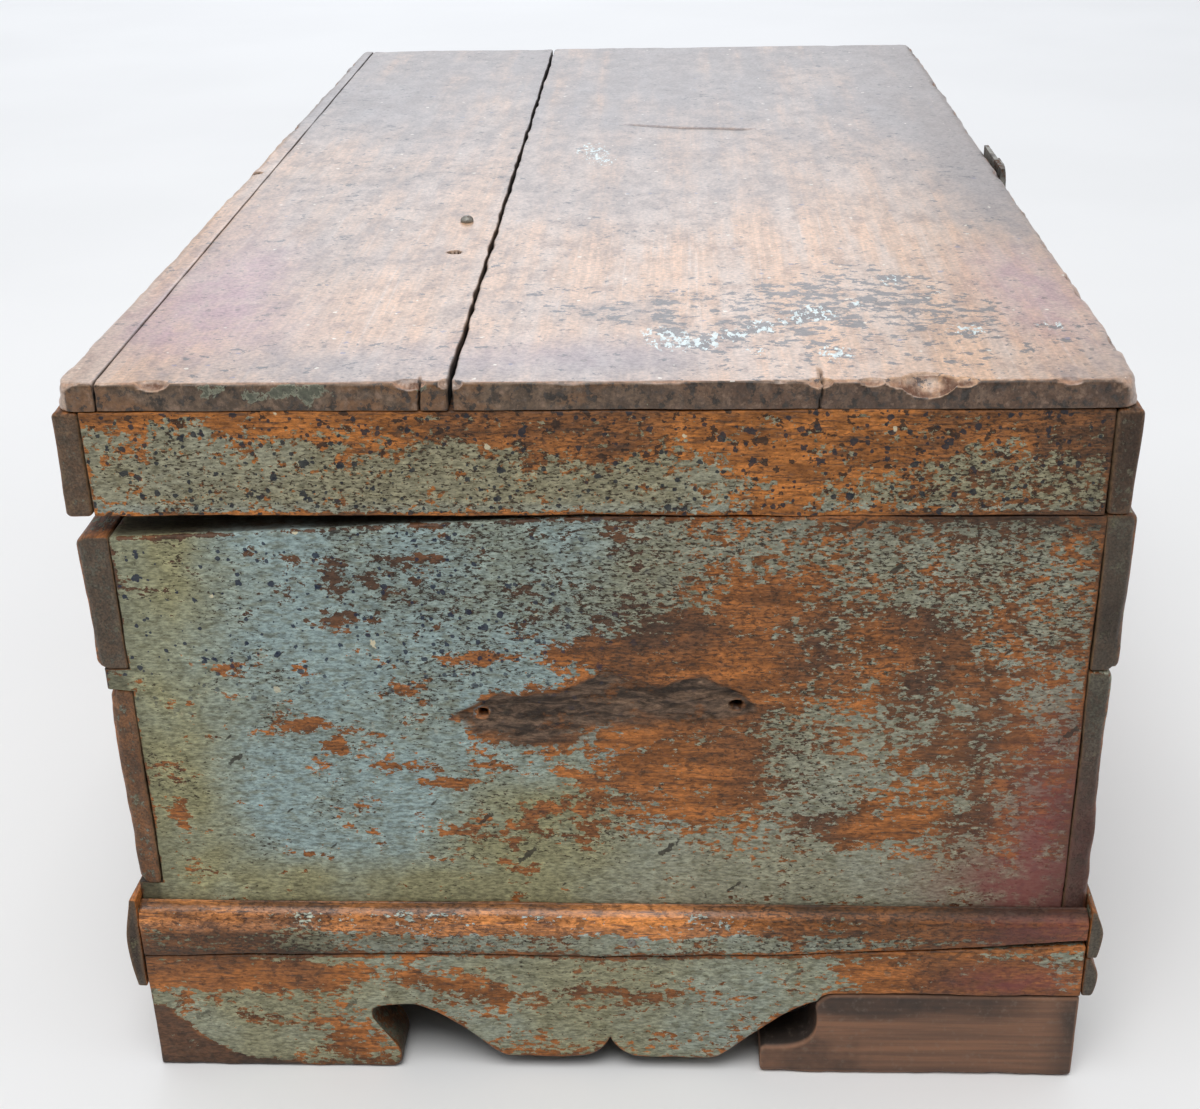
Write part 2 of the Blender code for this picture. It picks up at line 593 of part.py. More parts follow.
def build_lid(wood, skirt_wood, bare_wood, carrier):
    """Top planks, skirt boards and battens."""
    back = LID_BACK_Y - LID_BOARD_INSET
    front = LID_FRONT_Y + LID_BOARD_INSET
    strip = (back - STRIP_NEAR_WIDTH, back - STRIP_FAR_WIDTH)
    plank_back = [y - FIT for y in strip]
    plank_front = [y - BACK_BOARD_WIDTH for y in plank_back]
    joint = [y - LID_JOINT_GAP for y in plank_front]
    build_lid_board("lid_back_strip", back, back, *strip, back, wood, carrier)
    build_lid_board("lid_back_plank", *plank_back, *plank_front, None, wood, carrier)
    build_lid_board("lid_front_plank", *joint, front, front, front, wood, carrier)

    top = LID_Z + LID_SKIRT_HEIGHT
    sides = (("lid_front_skirt", LID_FRONT_Y, 1), ("lid_back_skirt", LID_BACK_Y, -1))
    for name, outer, inward in sides:
        grain = outer + inward * LID_END_GRAIN
        inner = outer + inward * LID_SKIRT_T
        step = LID_INNER_HALF_LENGTH - FIT
        outline = [
            (-LID_HALF_LENGTH, outer),
            (LID_HALF_LENGTH, outer),
            (LID_HALF_LENGTH, grain),
            (step, grain),
            (step, inner),
            (-step, inner),
            (-step, grain),
            (-LID_HALF_LENGTH, grain),
        ]
        make_object(name, extrude_outline(outline, 2, LID_Z, top, BOARD_EASE), skirt_wood, carrier)
    low_y = LID_FRONT_Y + LID_END_GRAIN + FIT
    high_y = LID_BACK_Y - LID_END_GRAIN - FIT
    for name, side in (("lid_left_skirt", -1), ("lid_right_skirt", 1)):
        faces = sorted((side * LID_HALF_LENGTH, side * LID_INNER_HALF_LENGTH))
        skirt = box((faces[0], low_y, LID_Z), (faces[1], high_y, top), BOARD_EASE)
        make_object(name, skirt, skirt_wood, carrier)

    batten_top = LID_BOARD_Z - FIT
    back_end = LID_BACK_Y - LID_SKIRT_T - BATTEN_END_GAP
    front_end = LID_FRONT_Y + LID_SKIRT_T + BATTEN_END_GAP
    for name, side in (("lid_left_batten", -1), ("lid_right_batten", 1)):
        middle = side * BATTEN_X
        low = (middle - BATTEN_WIDTH / 2, front_end, batten_top - BATTEN_T)
        high = (middle + BATTEN_WIDTH / 2, back_end, batten_top)
        make_object(name, box(low, high, BOARD_EASE), bare_wood, carrier)


def leaf_outline(inner_y, far_z, axis_y, axis_z, radius, thickness):
    """The end shape of a hinge leaf: a plate on the wood that runs into its knuckle.

    The plate stands outward of inner_y by its thickness, away from the wood, and reaches to far_z.
    """
    out = 1 if axis_y > 0 else -1
    up = 1 if far_z > axis_z else -1
    outer_y = inner_y + out * thickness
    offset = out * (axis_y - outer_y)
    start = math.acos(max(-1.0, min(1.0, -offset / radius)))
    sweep = [start - (start + math.pi) * i / ROUND_SIDES for i in range(ROUND_SIDES + 1)]
    knuckle = [(axis_y + out * radius * math.cos(a), axis_z + up * radius * math.sin(a)) for a in sweep]
    if abs(knuckle[-1][0] - inner_y) < FIT:
        knuckle.pop()
    return [(inner_y, far_z), (outer_y, far_z), *knuckle, (inner_y, axis_z)]


def build_hinge(side_name, middle, iron, carrier):
    """A lid leaf with one knuckle, a body leaf with two, and the pin through them."""
    low_x = middle - LEAF_WIDTH / 2
    high_x = middle + LEAF_WIDTH / 2
    mid_low = middle - MID_KNUCKLE_WIDTH / 2
    mid_high = middle + MID_KNUCKLE_WIDTH / 2
    reach = KNUCKLE_R + KNUCKLE_PLAY
    past = 2 * LEAF_HEIGHT
    hole_r = PIN_R + PIN_PLAY

    lid_far = LID_Z + LEAF_HEIGHT
    lid_leaf = leaf_outline(LID_BACK_Y + FIT, lid_far, HINGE_Y, HINGE_Z, KNUCKLE_R, LEAF_T)
    leaf_data = extrude_outline(lid_leaf, 0, low_x, high_x)
    leaf = make_object(f"{side_name}_hinge_lid_leaf", leaf_data, iron, carrier)
    gaps = [(low_x - past, mid_low), (mid_high, high_x + past)]
    floor = HINGE_Z - past
    tools = [box((a, HINGE_Y - past, floor), (b, HINGE_Y + past, HINGE_Z + reach)) for a, b in gaps]
    tools.append(cylinder((middle, HINGE_Y, HINGE_Z), 0, hole_r, 2 * LEAF_WIDTH))
    combine(leaf, tools)

    body_far = BACK_TOP_Z - LEAF_HEIGHT
    body_leaf = leaf_outline(BACK_FACE_Y + FIT, body_far, HINGE_Y, HINGE_Z, KNUCKLE_R, LEAF_T)
    leaf_data = extrude_outline(body_leaf, 0, low_x, high_x)
    leaf = make_object(f"{side_name}_hinge_body_leaf", leaf_data, iron)
    gap = (mid_low - KNUCKLE_PLAY, mid_high + KNUCKLE_PLAY)
    ceiling = HINGE_Z + past
    tools = [box((gap[0], HINGE_Y - past, HINGE_Z - reach), (gap[1], HINGE_Y + past, ceiling))]
    tools.append(cylinder((middle, HINGE_Y, HINGE_Z), 0, hole_r, 2 * LEAF_WIDTH))
    combine(leaf, tools)
    build_pin(f"{side_name}_hinge_pin", (middle, HINGE_Y, HINGE_Z), LEAF_WIDTH, PIN_R, iron, None)


def build_pin(name, centre, span, radius, iron, carrier):
    """A pin with a riveted head past each end of what it joins, turned from a half outline."""
    half = span / 2 + FIT
    head = PIN_HEAD_R * radius / PIN_R
    dome = PIN_HEAD_T * radius / PIN_R
    right = [(half, radius), (half, head), (half + dome / 2, head * PIN_DOME_SHARE), (half + dome, 0)]
    left = [(-x, r) for x, r in reversed(right)]
    mesh_data = bmesh.new()
    verts = [mesh_data.verts.new((x, 0, r)) for x, r in left + right]
    edges = [mesh_data.edges.new(pair) for pair in zip(verts, verts[1:])]
    bmesh.ops.spin(
        mesh_data, geom=verts + edges, axis=(1, 0, 0), cent=(0, 0, 0), angle=math.tau, steps=ROUND_SIDES
    )
    bmesh.ops.remove_doubles(mesh_data, verts=mesh_data.verts, dist=SAME_PLACE)
    bmesh.ops.translate(mesh_data, verts=mesh_data.verts, vec=Vector(centre))
    make_object(name, mesh_data, iron, carrier)


def build_hasp(iron, lid_carrier, hasp_carrier):
    """A plate on the lid, a slotted strap that swings down from it, and their pin."""
    half = HASP_PLATE_WIDTH / 2
    strap_half = HASP_KNUCKLE_WIDTH / 2
    reach = HASP_KNUCKLE_R + KNUCKLE_PLAY
    past = HASP_PLATE_HEIGHT
    hole_r = HASP_PIN_R + PIN_PLAY
    hole = (0, HASP_Y, HASP_Z)

    plate_far = HASP_Z + HASP_PLATE_HEIGHT
    outline = leaf_outline(LID_FRONT_Y - FIT, plate_far, HASP_Y, HASP_Z, HASP_KNUCKLE_R, HASP_T)
    plate = make_object("hasp_plate", extrude_outline(outline, 0, -half, half), iron, lid_carrier)
    gap_x = strap_half + KNUCKLE_PLAY
    tools = [box((-gap_x, HASP_Y - past, HASP_Z - past), (gap_x, HASP_Y + past, HASP_Z + reach))]
    tools.append(cylinder(hole, 0, hole_r, 2 * HASP_PLATE_WIDTH))
    combine(plate, tools)

    tip_z = HASP_Z + HASP_STRAP_LENGTH
    width = HASP_STRAP_WIDTH / 2
    neck_z = HASP_Z + reach + KNUCKLE_PLAY
    tip_round = width * STRAP_TIP_SHARE
    corners = [
        (-strap_half, HASP_Z, 0),
        (strap_half, HASP_Z, 0),
        (strap_half, neck_z, 0),
        (width, neck_z, 0),
        (width, tip_z, tip_round),
        (-width, tip_z, tip_round),
        (-width, neck_z, 0),
        (-strap_half, neck_z, 0),
    ]
    face = HASP_Y + HASP_T / 2
    strap_data = extrude_outline(round_corners(corners), 1, face - HASP_T, face)
    strap = make_object("hasp_strap", strap_data, iron, hasp_carrier)
    combine(strap, [cylinder(hole, 0, HASP_KNUCKLE_R, HASP_KNUCKLE_WIDTH)], "UNION")
    slot_r = SLOT_WIDTH / 2
    slot_z = HASP_Z + SLOT_RISE
    slot_end = SLOT_LENGTH / 2
    slot_round = slot_r * SLOT_END_SHARE
    slot = round_corners([
        (-slot_r, slot_z - slot_end, slot_round),
        (slot_r, slot_z - slot_end, slot_round),
        (slot_r, slot_z + slot_end, slot_round),
        (-slot_r, slot_z + slot_end, slot_round),
    ])
    cuts = [extrude_outline(slot, 1, HASP_Y - past, HASP_Y + past)]
    cuts.append(cylinder(hole, 0, hole_r, 2 * HASP_PLATE_WIDTH))
    combine(strap, cuts)
    build_pin("hasp_pin", hole, HASP_PLATE_WIDTH, HASP_PIN_R, iron, lid_carrier)


def build_staple(iron):
    """A round iron loop driven into the front plank, for the strap's slot and a padlock."""
    rod = bpy.data.curves.new("hasp_staple", "CURVE")
    rod.dimensions = "3D"
    rod.bevel_depth = STAPLE_WIRE_R
    rod.bevel_resolution = WIRE_FACETS
    rod.use_fill_caps = True
    bend_y = FRONT_FACE_Y - STAPLE_REACH
    tip_y = FRONT_FACE_Y + STAPLE_DEPTH
    bend = arc((bend_y, STAPLE_Z), STAPLE_HALF_SPAN, 270, 90, ROUND_SIDES)
    route = [(tip_y, STAPLE_Z - STAPLE_HALF_SPAN), *bend, (tip_y, STAPLE_Z + STAPLE_HALF_SPAN)]
    spline = rod.splines.new("POLY")
    spline.points.add(len(route) - 1)
    for point, (y, z) in zip(spline.points, route):
        point.co = (0, y, z, 1)
    staple = bpy.data.objects.new("hasp_staple", rod)
    rod.materials.append(iron)
    bpy.context.collection.objects.link(staple)


def main():
    """Builds the chest: body, plinth, lid, then the ironwork."""
    clear_scene()
    painted = make_finish("flaked_paint", (0.36, 0.36, 0.29), 0.75)
    top_wood = make_finish("worn_lid_wood", (0.42, 0.31, 0.24), 0.6)
    skirt_wood = make_finish("lid_skirt_wood", (0.38, 0.25, 0.14), 0.65)
    bare_wood = make_finish("bare_wood", (0.30, 0.21, 0.14), 0.8)
    block_wood = make_finish("foot_block_wood", (0.24, 0.13, 0.09), 0.6)
    iron = make_finish("wrought_iron", (0.20, 0.19, 0.18), 0.55, 0.9)

    lid = make_empty("lid_axis", (0, HINGE_Y, HINGE_Z))
    hasp = make_empty("hasp_axis", (0, HASP_Y, HASP_Z), lid)
    build_body(painted, bare_wood)
    build_plinth(painted, bare_wood, block_wood)
    build_lid(top_wood, skirt_wood, bare_wood, lid)
    build_hinge("left", -HINGE_X, iron, lid)
    build_hinge("right", HINGE_X, iron, lid)
    build_hasp(iron, lid, hasp)
    build_staple(iron)


main()
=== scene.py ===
"""Dresses the money chest: worn boards, flaking paint, iron fittings, floor, lights and camera.

Metres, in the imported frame: X along the chest, -Y its front, +Z up, and the end that the camera sees at -X.
"""

import logging
from collections.abc import Callable, Sequence
from dataclasses import dataclass
from enum import Enum
from functools import partial, partialmethod
from types import SimpleNamespace
from typing import ClassVar

import bpy
import numpy as np
from mathutils import Matrix, Vector


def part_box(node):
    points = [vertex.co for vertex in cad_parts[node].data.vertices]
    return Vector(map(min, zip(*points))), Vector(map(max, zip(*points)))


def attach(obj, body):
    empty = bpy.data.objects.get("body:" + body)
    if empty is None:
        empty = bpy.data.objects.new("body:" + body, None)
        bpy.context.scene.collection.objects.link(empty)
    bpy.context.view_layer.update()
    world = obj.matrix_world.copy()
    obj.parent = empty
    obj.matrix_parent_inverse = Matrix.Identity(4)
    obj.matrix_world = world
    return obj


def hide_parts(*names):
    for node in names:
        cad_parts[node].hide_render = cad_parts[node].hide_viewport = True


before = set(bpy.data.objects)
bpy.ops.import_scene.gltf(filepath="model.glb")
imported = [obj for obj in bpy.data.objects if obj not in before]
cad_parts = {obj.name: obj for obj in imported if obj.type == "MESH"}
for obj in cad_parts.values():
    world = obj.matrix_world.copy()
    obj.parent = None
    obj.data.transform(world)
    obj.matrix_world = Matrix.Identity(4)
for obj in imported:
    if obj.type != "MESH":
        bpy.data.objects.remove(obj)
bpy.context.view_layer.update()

LOG = logging.getLogger("money_chest")
Array = np.ndarray
Vec = Sequence[float]
ArrayPair = tuple[Array, Array]
Pair = tuple[float, float]
Colour = tuple[float, float, float]
Socket = bpy.types.NodeSocket
Material = bpy.types.Material
Patch = tuple[float, float, float, float, float]
Fields = dict[str, Array | float]
Limits = Callable[[Array], ArrayPair]
Place = Callable[[Array, Array, Array], Array]

CRACK_AND_HOLE_SHADE: Colour = (0.006, 0.005, 0.004)
BARE_LIGHT: Colour = (0.235, 0.145, 0.080)
BARE_DARK: Colour = (0.115, 0.066, 0.036)
STEP_HALF = 5e-5


class Grain(Enum):
    """Which way the wood's fibres run."""

    ALONG = 0
    ACROSS = 1


class Body(Enum):
    """The bodies that carry new pieces."""

    CHEST = "chest"
    LID = "lid"


class Slot(Enum):
    """The material slots."""

    PAINT = "flaked_paint"
    TOP = "worn_lid_wood"
    SKIRT = "lid_skirt_wood"
    BARE = "bare_wood"
    BLOCK = "foot_block_wood"
    IRON = "wrought_iron"


def unit(value: Array) -> Array:
    """A value kept between 0 and 1."""
    return np.clip(value, 0.0, 1.0)


def smooth(value: Array, low: float, high: float) -> Array:
    """A soft step: 0 up to low, 1 from high, and 3t^2 - 2t^3 between.

    Args:
        value: Any array.
        low: Where the step starts; may be above high, and the step then falls.
        high: Where it ends.

    Returns:
        Values from 0 to 1.
    """
    t = unit((value - low) / (high - low))
    return t * t * (3.0 - 2.0 * t)


def lattice_noise(points: Array, seed: int) -> Array:
    """Random values at whole-number places, blended along each axis by 3t^2 - 2t^3.

    Args:
        points: (N, 3) places, with one noise cell to the unit.
        seed: Which set of random values to use.

    Returns:
        (N,) values from 0 to 1.
    """
    cell = np.floor(points).astype(np.int64)
    t = points - cell
    t = t * t * (3.0 - 2.0 * t)
    total = np.zeros(len(points))
    for corner in np.ndindex(2, 2, 2):
        step = np.array(corner)
        x, y, z = (cell + step).T
        mixed = (x * 73856093) ^ (y * 19349663) ^ (z * 83492791) ^ (seed * 26544357)
        mixed = (mixed ^ (mixed >> 13)) * 1274126177
        value = ((mixed ^ (mixed >> 16)) & 0xFFFF) / 65535.0
        total += value * np.prod(np.where(step, t, 1.0 - t), axis=1)
    return total


def noise(points: Array, size: float | Vec, seed: int, layers: int = 3) -> Array:
    """Layered noise about 0; each layer has half the cell and half the height of the one before.

    Args:
        points: (N, 3) places in metres.
        size: Cell of the first layer in metres, one number or one for each axis.
        seed: Which set of random values to use.
        layers: How many layers are added.

    Returns:
        (N,) values from about -1 to 1.
    """
    place = points / np.asarray(size, float)
    heights = 0.5 ** np.arange(layers)
    total = np.zeros(len(points))
    for layer, height in enumerate(heights):
        total += height * (2.0 * lattice_noise(place * 2.0**layer + 17.3 * layer, seed + layer) - 1.0)
    return total / heights.sum() * 1.6


def patches(across: Array, up: Array, spots: Sequence[Patch]) -> Array:
    """Adds up soft oval spots: amount * exp(-(dx / rx)^2 - (dy / ry)^2).

    Args:
        across: (N,) first coordinate in metres.
        up: (N,) second coordinate in metres.
        spots: Centre, half sizes and amount of each spot, the lengths in millimetres.

    Returns:
        (N,) sum of the spots.
    """
    u, v, ru, rv, amount = np.array(spots).T[:, :, None]
    return (amount * np.exp(-(((across * 1e3 - u) / ru) ** 2) - ((up * 1e3 - v) / rv) ** 2)).sum(axis=0)


def knots(length: float, step: float, edge: float = 0.005, extra: Vec = ()) -> Array:
    """Places along a board's side: close together at both edges and evenly spaced between.

    Args:
        length: The side's length.
        step: Spacing away from the edges.
        edge: Width of the finely spaced strip at each edge.
        extra: Further places that the grid needs.

    Returns:
        Rising places from 0 to length.
    """
    edge = min(edge, 0.4 * length)
    near = edge * np.array((0.0, 0.07, 0.16, 0.28, 0.43, 0.6, 0.8, 1.0))
    count = max(2, int(np.ceil((length - 2.0 * edge) / step)) + 1)
    middle = np.linspace(edge, length - edge, count)
    every = np.concatenate((near, middle, length - near, np.asarray(extra, float)))
    return np.unique(np.round(np.clip(every, 0.0, length), 6))


def around(places: Vec, reach: float = 0.003, count: int = 9) -> list[float]:
    """Extra knots close around some places, for a hole or a split that is finer than the grid."""
    offsets = np.linspace(-reach, reach, count)
    return [float(place + offset) for place in places for offset in offsets]


def both_sides(places: Vec) -> list[float]:
    """Two knots close together at each place, for a step in a board's outline."""
    return around(places, STEP_HALF, 2)


class BoxGrid:
    """The skin of a box: a grid on each of its six faces, which share the points of their edges.

    A point is three places along the box's sides, and a face is four point numbers, outward side first.
    """

    def __init__(self, first: Array, second: Array, third: Array) -> None:
        """Lays out the grid.

        Args:
            first: Places along the first side, rising.
            second: Places along the second side.
            third: Places along the third side.
        """
        sides = (first, second, third)
        n = [len(side) for side in sides]
        faces = []
        for axis in range(3):
            u, v = (axis + 1) % 3, (axis + 2) % 3
            for last in (False, True):
                index = np.zeros((n[u], n[v], 3), np.int64)
                index[..., u], index[..., v] = np.meshgrid(np.arange(n[u]), np.arange(n[v]), indexing="ij")
                index[..., axis] = n[axis] - 1 if last else 0
                key = (index[..., 0] * n[1] + index[..., 1]) * n[2] + index[..., 2]
                quads = np.stack((key[:-1, :-1], key[1:, :-1], key[1:, 1:], key[:-1, 1:]), axis=-1)
                faces.append(quads.reshape(-1, 4) if last else quads.reshape(-1, 4)[:, ::-1])
        used, numbers = np.unique(np.concatenate(faces), return_inverse=True)
        self.quads = numbers.reshape(-1, 4)
        picks = (used // (n[1] * n[2]), used // n[2] % n[1], used % n[2])
        self.points = np.stack([side[pick] for side, pick in zip(sides, picks)], axis=1)


@dataclass
class WornSkin:
    """A board's points after rounding: where they are, which way is out, and how far the nearest edge is."""

    points: Array
    outward: Array
    rim: Array
    quads: Array

    def noise(self, size: float | Vec, seed: int, layers: int = 3) -> Array:
        """Layered noise at the skin's points."""
        return noise(self.points, size, seed, layers)

    def facing(self, way: Vec) -> Array:
        """How squarely each point faces a way, from 0 to 1."""
        return smooth(self.outward @ np.asarray(way, float), 0.55, 0.85)

    def either_way(self, axis: int) -> Array:
        """How squarely each point faces one way or the other along an axis, from 0 to 1."""
        way = np.eye(3)[axis]
        return np.maximum(self.facing(way), self.facing(-way))


def round_edges(points: Array, low: Array, high: Array, radius: Array) -> tuple[Array, Array, Array]:
    """Rounds a box: a point goes to its nearest place on an inner box, plus the radius outward.

    Args:
        points: (N, 3) points on the box's faces.
        low: (N, 3) lowest corner of the box as each point sees it.
        high: (N, 3) highest corner.
        radius: (N,) radius of the edges.

    Returns:
        The rounded points, the outward directions, and each point's distance from the nearest edge.
    """
    limit = 0.49 * (high - low).min(axis=1)
    r = np.minimum(radius, limit)[:, None]
    inner = np.clip(points, low + r, high - r)
    out = points - inner
    out /= np.linalg.norm(out, axis=1, keepdims=True)
    rim = np.sort(np.minimum(points - low, high - points), axis=1)[:, 1]
    return inner + r * out, out, rim


def same_box(points: Array, low: Array, high: Array) -> ArrayPair:
    """The lowest and highest corner of one box, for every point."""
    return np.tile(low, (len(points), 1)), np.tile(high, (len(points), 1))


def bite(points: Array, centres: Array, radii: Array) -> Array:
    """Chips a board: points inside a ball are pushed out to its surface, which leaves a hollow.

    Args:
        points: (N, 3) points of the board.
        centres: (K, 3) centres, which lie outside the wood.
        radii: (K, 3) half sizes of each ball along X, Y and Z.

    Returns:
        The chipped points.
    """
    chipped = points.copy()
    for centre, radius in zip(centres, radii):
        offset = (chipped - centre) / radius
        length = np.linalg.norm(offset, axis=1, keepdims=True)
        inside = (length < 1.0) & (length > 1e-6)
        chipped = np.where(inside, centre + offset / np.maximum(length, 1e-6) * radius, chipped)
    return chipped


def bite_groups(points: Array, groups: Sequence[ArrayPair]) -> Array:
    """Chips a board with several groups of balls, each given as centres and radii."""
    centres, radii = (np.concatenate(part) for part in zip(*groups))
    return bite(points, centres, radii)


def make_piece(name: str, points: Array, quads: Array, finish: Material, body: Body,
               fields: Fields | None = None) -> bpy.types.Object:
    """Puts a quad surface into the scene and lets it ride on a body.

    Args:
        name: The piece's name.
        points: (N, 3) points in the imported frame.
        quads: (M, 4) point numbers of the faces.
        finish: Its material.
        body: The body that carries it.
        fields: Values that the material reads, one for each point or one for all.

    Returns:
        The new object, at the origin and unturned.
    """
    mesh = bpy.data.meshes.new(name)
    mesh.vertices.add(len(points))
    mesh.vertices.foreach_set("co", points.astype(np.float32).ravel())
    mesh.loops.add(quads.size)
    mesh.loops.foreach_set("vertex_index", quads.astype(np.int32).ravel())
    mesh.polygons.add(len(quads))
    mesh.polygons.foreach_set("loop_start", np.arange(0, quads.size, 4, dtype=np.int32))
    mesh.update(calc_edges=True)
    for label, values in (fields or {}).items():
        attribute = mesh.attributes.new(label, "FLOAT", "POINT")
        attribute.data.foreach_set("value", np.full(len(points), values, np.float32))
    mesh.shade_smooth()
    mesh.materials.append(finish)
    piece = bpy.data.objects.new(name, mesh)
    bpy.context.scene.collection.objects.link(piece)
    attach(piece, body.value)
    LOG.info("%s: %d faces on %s", name, len(quads), body.value)
    return piece


class Recipe:
    """Lays out a material's nodes; each method adds one node and returns its output."""

    def __init__(self, name: str, grain: Grain = Grain.ALONG, plane: tuple[int, int] = (0, 1)) -> None:
        """Starts a material with a Principled shader.

        Args:
            name: The material's name.
            grain: Which way its fibres run.
            plane: The two axes that span the plane of its drops.
        """
        self.grain = grain
        self.plane = plane
        self.material = bpy.data.materials.new(name)
        self.material.use_nodes = True
        self.tree = self.material.node_tree
        self.shader = self.tree.nodes["Principled BSDF"]
        places = self.tree.nodes.new("ShaderNodeTexCoord")
        self.coordinates = places.outputs["Object"]
        normal = self.tree.nodes.new("ShaderNodeSeparateXYZ")
        self.feed(normal.inputs[0], places.outputs["Normal"])
        out = normal.outputs[3 - sum(plane)]
        self.square = self.step(self.math("ABSOLUTE", out), 0.60, 0.85)

    def feed(self, target: Socket, source: object) -> None:
        """Links a socket to another, or sets its own value.

        Args:
            target: The socket that is fed.
            source: A socket, number or colour.
        """
        if isinstance(source, Socket):
            self.tree.links.new(source, target)
        elif isinstance(source, tuple) and len(source) == 3 and target.type == "RGBA":
            target.default_value = (*source, 1.0)
        else:
            target.default_value = source

    def node(self, kind: str, output: int | str = 0, settings: dict[str, object] | None = None,
             **inputs: object) -> Socket:
        """Adds a node.

        Args:
            kind: Blender's name of the node.
            output: Which output to return.
            settings: Values of the node's own properties.
            inputs: Values or sockets by input name, with spaces written as underscores.

        Returns:
            The chosen output.
        """
        made = self.tree.nodes.new(kind)
        for label, value in (settings or {}).items():
            setattr(made, label, value)
        for label, value in inputs.items():
            self.feed(made.inputs[label.replace("_", " ")], value)
        return made.outputs[output]

    def place(self, scale: Vec) -> Socket:
        """The object's own coordinates, stretched by a scale for each axis."""
        return self.node("ShaderNodeMapping", Vector=self.coordinates, Scale=tuple(scale))

    def cloud(self, scale: Vec, detail: float = 4.0, rough: float = 0.6, bend: float = 0.0) -> Socket:
        """Soft noise about 0.5, with so many cells to the metre along each axis."""
        return self.node("ShaderNodeTexNoise", Vector=self.place(scale), Scale=1.0, Detail=detail,
                         Roughness=rough, Distortion=bend)

    def fibres(self, along: float, across: float, detail: float, rough: float, bend: float = 0.0) -> Socket:
        """Noise drawn out along the wood's fibres, with so many cells to the metre along and across them."""
        scale = [along if axis == self.grain.value else across for axis in range(3)]
        return self.cloud(scale, detail, rough, bend)

    def __getitem__(self, label: str) -> Socket:
        """A value that the mesh carries at its points."""
        return self.node("ShaderNodeAttribute", "Fac", {"attribute_name": label})

    def math(self, operation: str, first: object, second: object = 0.0, third: object = 0.0) -> Socket:
        """One sum on two or three values.

        Args:
            operation: Blender's name of the sum.
            first: A socket or number.
            second: The same.
            third: The same, for sums on three.

        Returns:
            The result.
        """
        made = self.tree.nodes.new("ShaderNodeMath")
        made.operation = operation
        for target, source in zip(made.inputs, (first, second, third)):
            self.feed(target, source)
        return made.outputs[0]

    times = partialmethod(math, "MULTIPLY")
    plus = partialmethod(math, "ADD")
    minus = partialmethod(math, "SUBTRACT")
    most = partialmethod(math, "MAXIMUM")
    least = partialmethod(math, "MINIMUM")
    times_plus = partialmethod(math, "MULTIPLY_ADD")

    def step(self, value: Socket, low: object, high: object, start: object = 0.0, end: object = 1.0) -> Socket:
        """A soft step of a value from start to end."""
        return self.node("ShaderNodeMapRange", 0, {"interpolation_type": "SMOOTHSTEP"}, Value=value,
                         From_Min=low, From_Max=high, To_Min=start, To_Max=end)

    def mix(self, share: object, first: object, second: object, way: str = "MIX") -> Socket:
        """Mixes two colours.

        Args:
            share: How much of the second shows.
            first: The colour underneath.
            second: The colour on top.
            way: Blender's name of the blend.

        Returns:
            The mixed colour.
        """
        made = self.tree.nodes.new("ShaderNodeMix")
        made.data_type = "RGBA"
        made.blend_type = way
        for index, source in ((0, share), (6, first), (7, second)):
            self.feed(made.inputs[index], source)
        return made.outputs[2]

    def layers(self, colour: object, rows: Sequence[tuple[Socket, float, float, float, Colour]]) -> Socket:
        """Lays tones over a colour, each where a noise passes a soft step.

        Args:
            colour: What lies underneath.
            rows: Noise, start and end of the step, strength and tone of each layer.

        Returns:
            The colour with its layers.
        """
        for source, low, high, amount, tone in rows:
            colour = self.mix(self.step(source, low, high, 0.0, amount), colour, tone)
        return colour

    def dots(self, per_metre: float, smallest: float, largest: float, share: float,
             stretch: Pair = (1.0, 1.0), turn: float = 0.0, ragged: Socket | None = None) -> Socket:
        """Drops of mixed size: in a share of the cells, 1 within the drop's own radius of its middle.

        Args:
            per_metre: Cells to the metre.
            smallest: Radius of the smallest drop as a part of a cell.
            largest: Radius of the largest.
            share: Part of the cells that hold a drop.
            stretch: Scale of both axes, which makes drops long.
            turn: Angle of those axes in the plane.
            ragged: Noise about 0.5 that frays the outline.

        Returns:
            1 on a drop and 0 elsewhere.
        """
        cells = self.tree.nodes.new("ShaderNodeTexVoronoi")
        cells.voronoi_dimensions = "2D"
        axes = self.tree.nodes.new("ShaderNodeSeparateXYZ")
        self.feed(axes.inputs[0], self.coordinates)
        flat = self.node("ShaderNodeCombineXYZ", X=axes.outputs[self.plane[0]], Y=axes.outputs[self.plane[1]])
        flat = self.node("ShaderNodeMapping", Vector=flat, Rotation=(0.0, 0.0, turn))
        scale = (per_metre * stretch[0], per_metre * stretch[1], 1.0)
        self.feed(cells.inputs["Vector"], self.node("ShaderNodeMapping", Vector=flat, Scale=scale))
        self.feed(cells.inputs["Scale"], 1.0)
        parts = self.tree.nodes.new("ShaderNodeSeparateColor")
        self.feed(parts.inputs[0], cells.outputs["Color"])
        radius = self.step(parts.outputs[1], 0.0, 1.0, smallest, largest)
        chosen = self.math("LESS_THAN", parts.outputs[0], share)
        if ragged:
            radius = self.times(radius, self.step(ragged, 0.3, 0.7, 0.4, 1.6))
        inside = self.step(self.minus(radius, cells.outputs["Distance"]), 0.0, 0.02)
        return self.times(self.times(inside, chosen), self.square)

    def grit(self, colour: Socket, noise_value: Socket, depth: float) -> Socket:
        """Darkens and lightens a colour by a fine noise."""
        return self.mix(1.0, colour, self.step(noise_value, 0.28, 0.72, 1.0 - depth, 1.0 + depth), "MULTIPLY")

